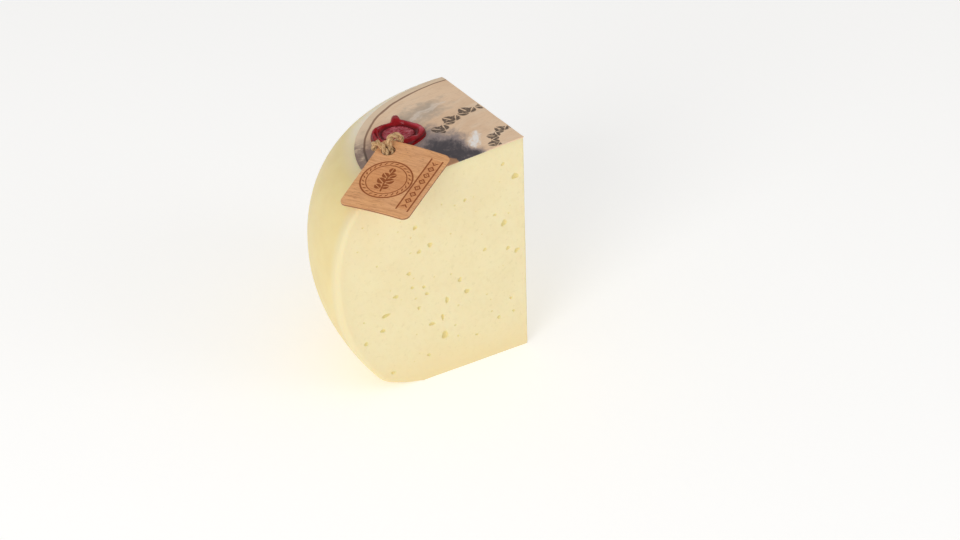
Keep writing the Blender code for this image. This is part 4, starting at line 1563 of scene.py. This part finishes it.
def settings_of(name):
    return getattr(bpy.context.scene, "pecorino_" + name)


def add_piece(settings, name, node, make_mesh, make_finish):
    """Builds a piece on the wedge's one body, in place of its solid."""
    mesh = make_mesh(settings)
    mesh.materials.append(make_finish(settings))
    piece = linked(name, mesh)
    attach(piece, "root")
    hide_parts(node)
    return {"FINISHED"}


class PECORINO_OT_cheese(bpy.types.Operator):
    """Build the wedge with its rind and eyes"""

    bl_idname = "pecorino.cheese"
    bl_label = "Cheese"

    def execute(self, context):
        settings = settings_of("cheese")
        return add_piece(settings, "cheese_wedge", "cheese", cheese_mesh, cheese_finish)


class PECORINO_OT_label(bpy.types.Operator):
    """Build the printed paper label"""

    bl_idname = "pecorino.label"
    bl_label = "Label"

    def execute(self, context):
        settings = settings_of("label")
        return add_piece(settings, "paper_label", "label", label_mesh, label_finish)


class PECORINO_OT_seal(bpy.types.Operator):
    """Build the wax seal with its drip and pressed rosette"""

    bl_idname = "pecorino.seal"
    bl_label = "Wax seal"

    def execute(self, context):
        settings = settings_of("seal")
        return add_piece(settings, "sealing_wax", "wax_seal", seal_mesh, seal_finish)


class PECORINO_OT_tag(bpy.types.Operator):
    """Build the branded wooden tag"""

    bl_idname = "pecorino.tag"
    bl_label = "Wooden tag"

    def execute(self, context):
        settings = settings_of("tag")
        return add_piece(settings, "beech_tag", "wood_tag", tag_mesh, tag_finish)


class PECORINO_OT_twine(bpy.types.Operator):
    """Build the twisted twine that ties the tag to the seal"""

    bl_idname = "pecorino.twine"
    bl_label = "Twine"

    def execute(self, context):
        settings = settings_of("twine")
        return add_piece(settings, "jute_twine", "twine", twine_mesh, twine_finish)


class PECORINO_OT_stage(bpy.types.Operator):
    """Set up the floor, the light and the camera"""

    bl_idname = "pecorino.stage"
    bl_label = "Stage"

    def execute(self, context):
        settings = settings_of("stage")
        add_floor(settings)
        for name, place, size, power in LIGHTS:
            add_light(name, place, size, getattr(settings, power))
        add_surroundings(settings)
        add_camera()
        context.scene.view_settings.view_transform = "Standard"
        return {"FINISHED"}


# Each operator, in the order in which they run, with the settings that it reads.
PIECES = (
    ("cheese", PECORINO_OT_cheese, CheeseSettings),
    ("label", PECORINO_OT_label, LabelSettings),
    ("seal", PECORINO_OT_seal, SealSettings),
    ("tag", PECORINO_OT_tag, TagSettings),
    ("twine", PECORINO_OT_twine, TwineSettings),
    ("stage", PECORINO_OT_stage, StageSettings),
)


class PECORINO_PT_pieces(bpy.types.Panel):
    """Lists the pieces with their settings"""

    bl_idname = "PECORINO_PT_pieces"
    bl_label = "Pecorino wedge"
    bl_space_type = "VIEW_3D"
    bl_region_type = "UI"
    bl_category = "Pecorino"

    def draw(self, context):
        for name, operator, group in PIECES:
            box = self.layout.box()
            for setting in group.__annotations__:
                box.prop(settings_of(name), setting)
            box.operator(operator.bl_idname)


def register():
    for name, operator, group in PIECES:
        bpy.utils.register_class(group)
        bpy.utils.register_class(operator)
        setattr(bpy.types.Scene, "pecorino_" + name, bpy.props.PointerProperty(type=group))
    bpy.utils.register_class(PECORINO_PT_pieces)


def unregister():
    bpy.utils.unregister_class(PECORINO_PT_pieces)
    for name, operator, group in reversed(PIECES):
        delattr(bpy.types.Scene, "pecorino_" + name)
        bpy.utils.unregister_class(operator)
        bpy.utils.unregister_class(group)


def main():
    register()
    bpy.ops.pecorino.cheese()
    bpy.ops.pecorino.label()
    bpy.ops.pecorino.seal()
    bpy.ops.pecorino.tag()
    bpy.ops.pecorino.twine()
    bpy.ops.pecorino.stage()


if __name__ == "__main__":
    main()
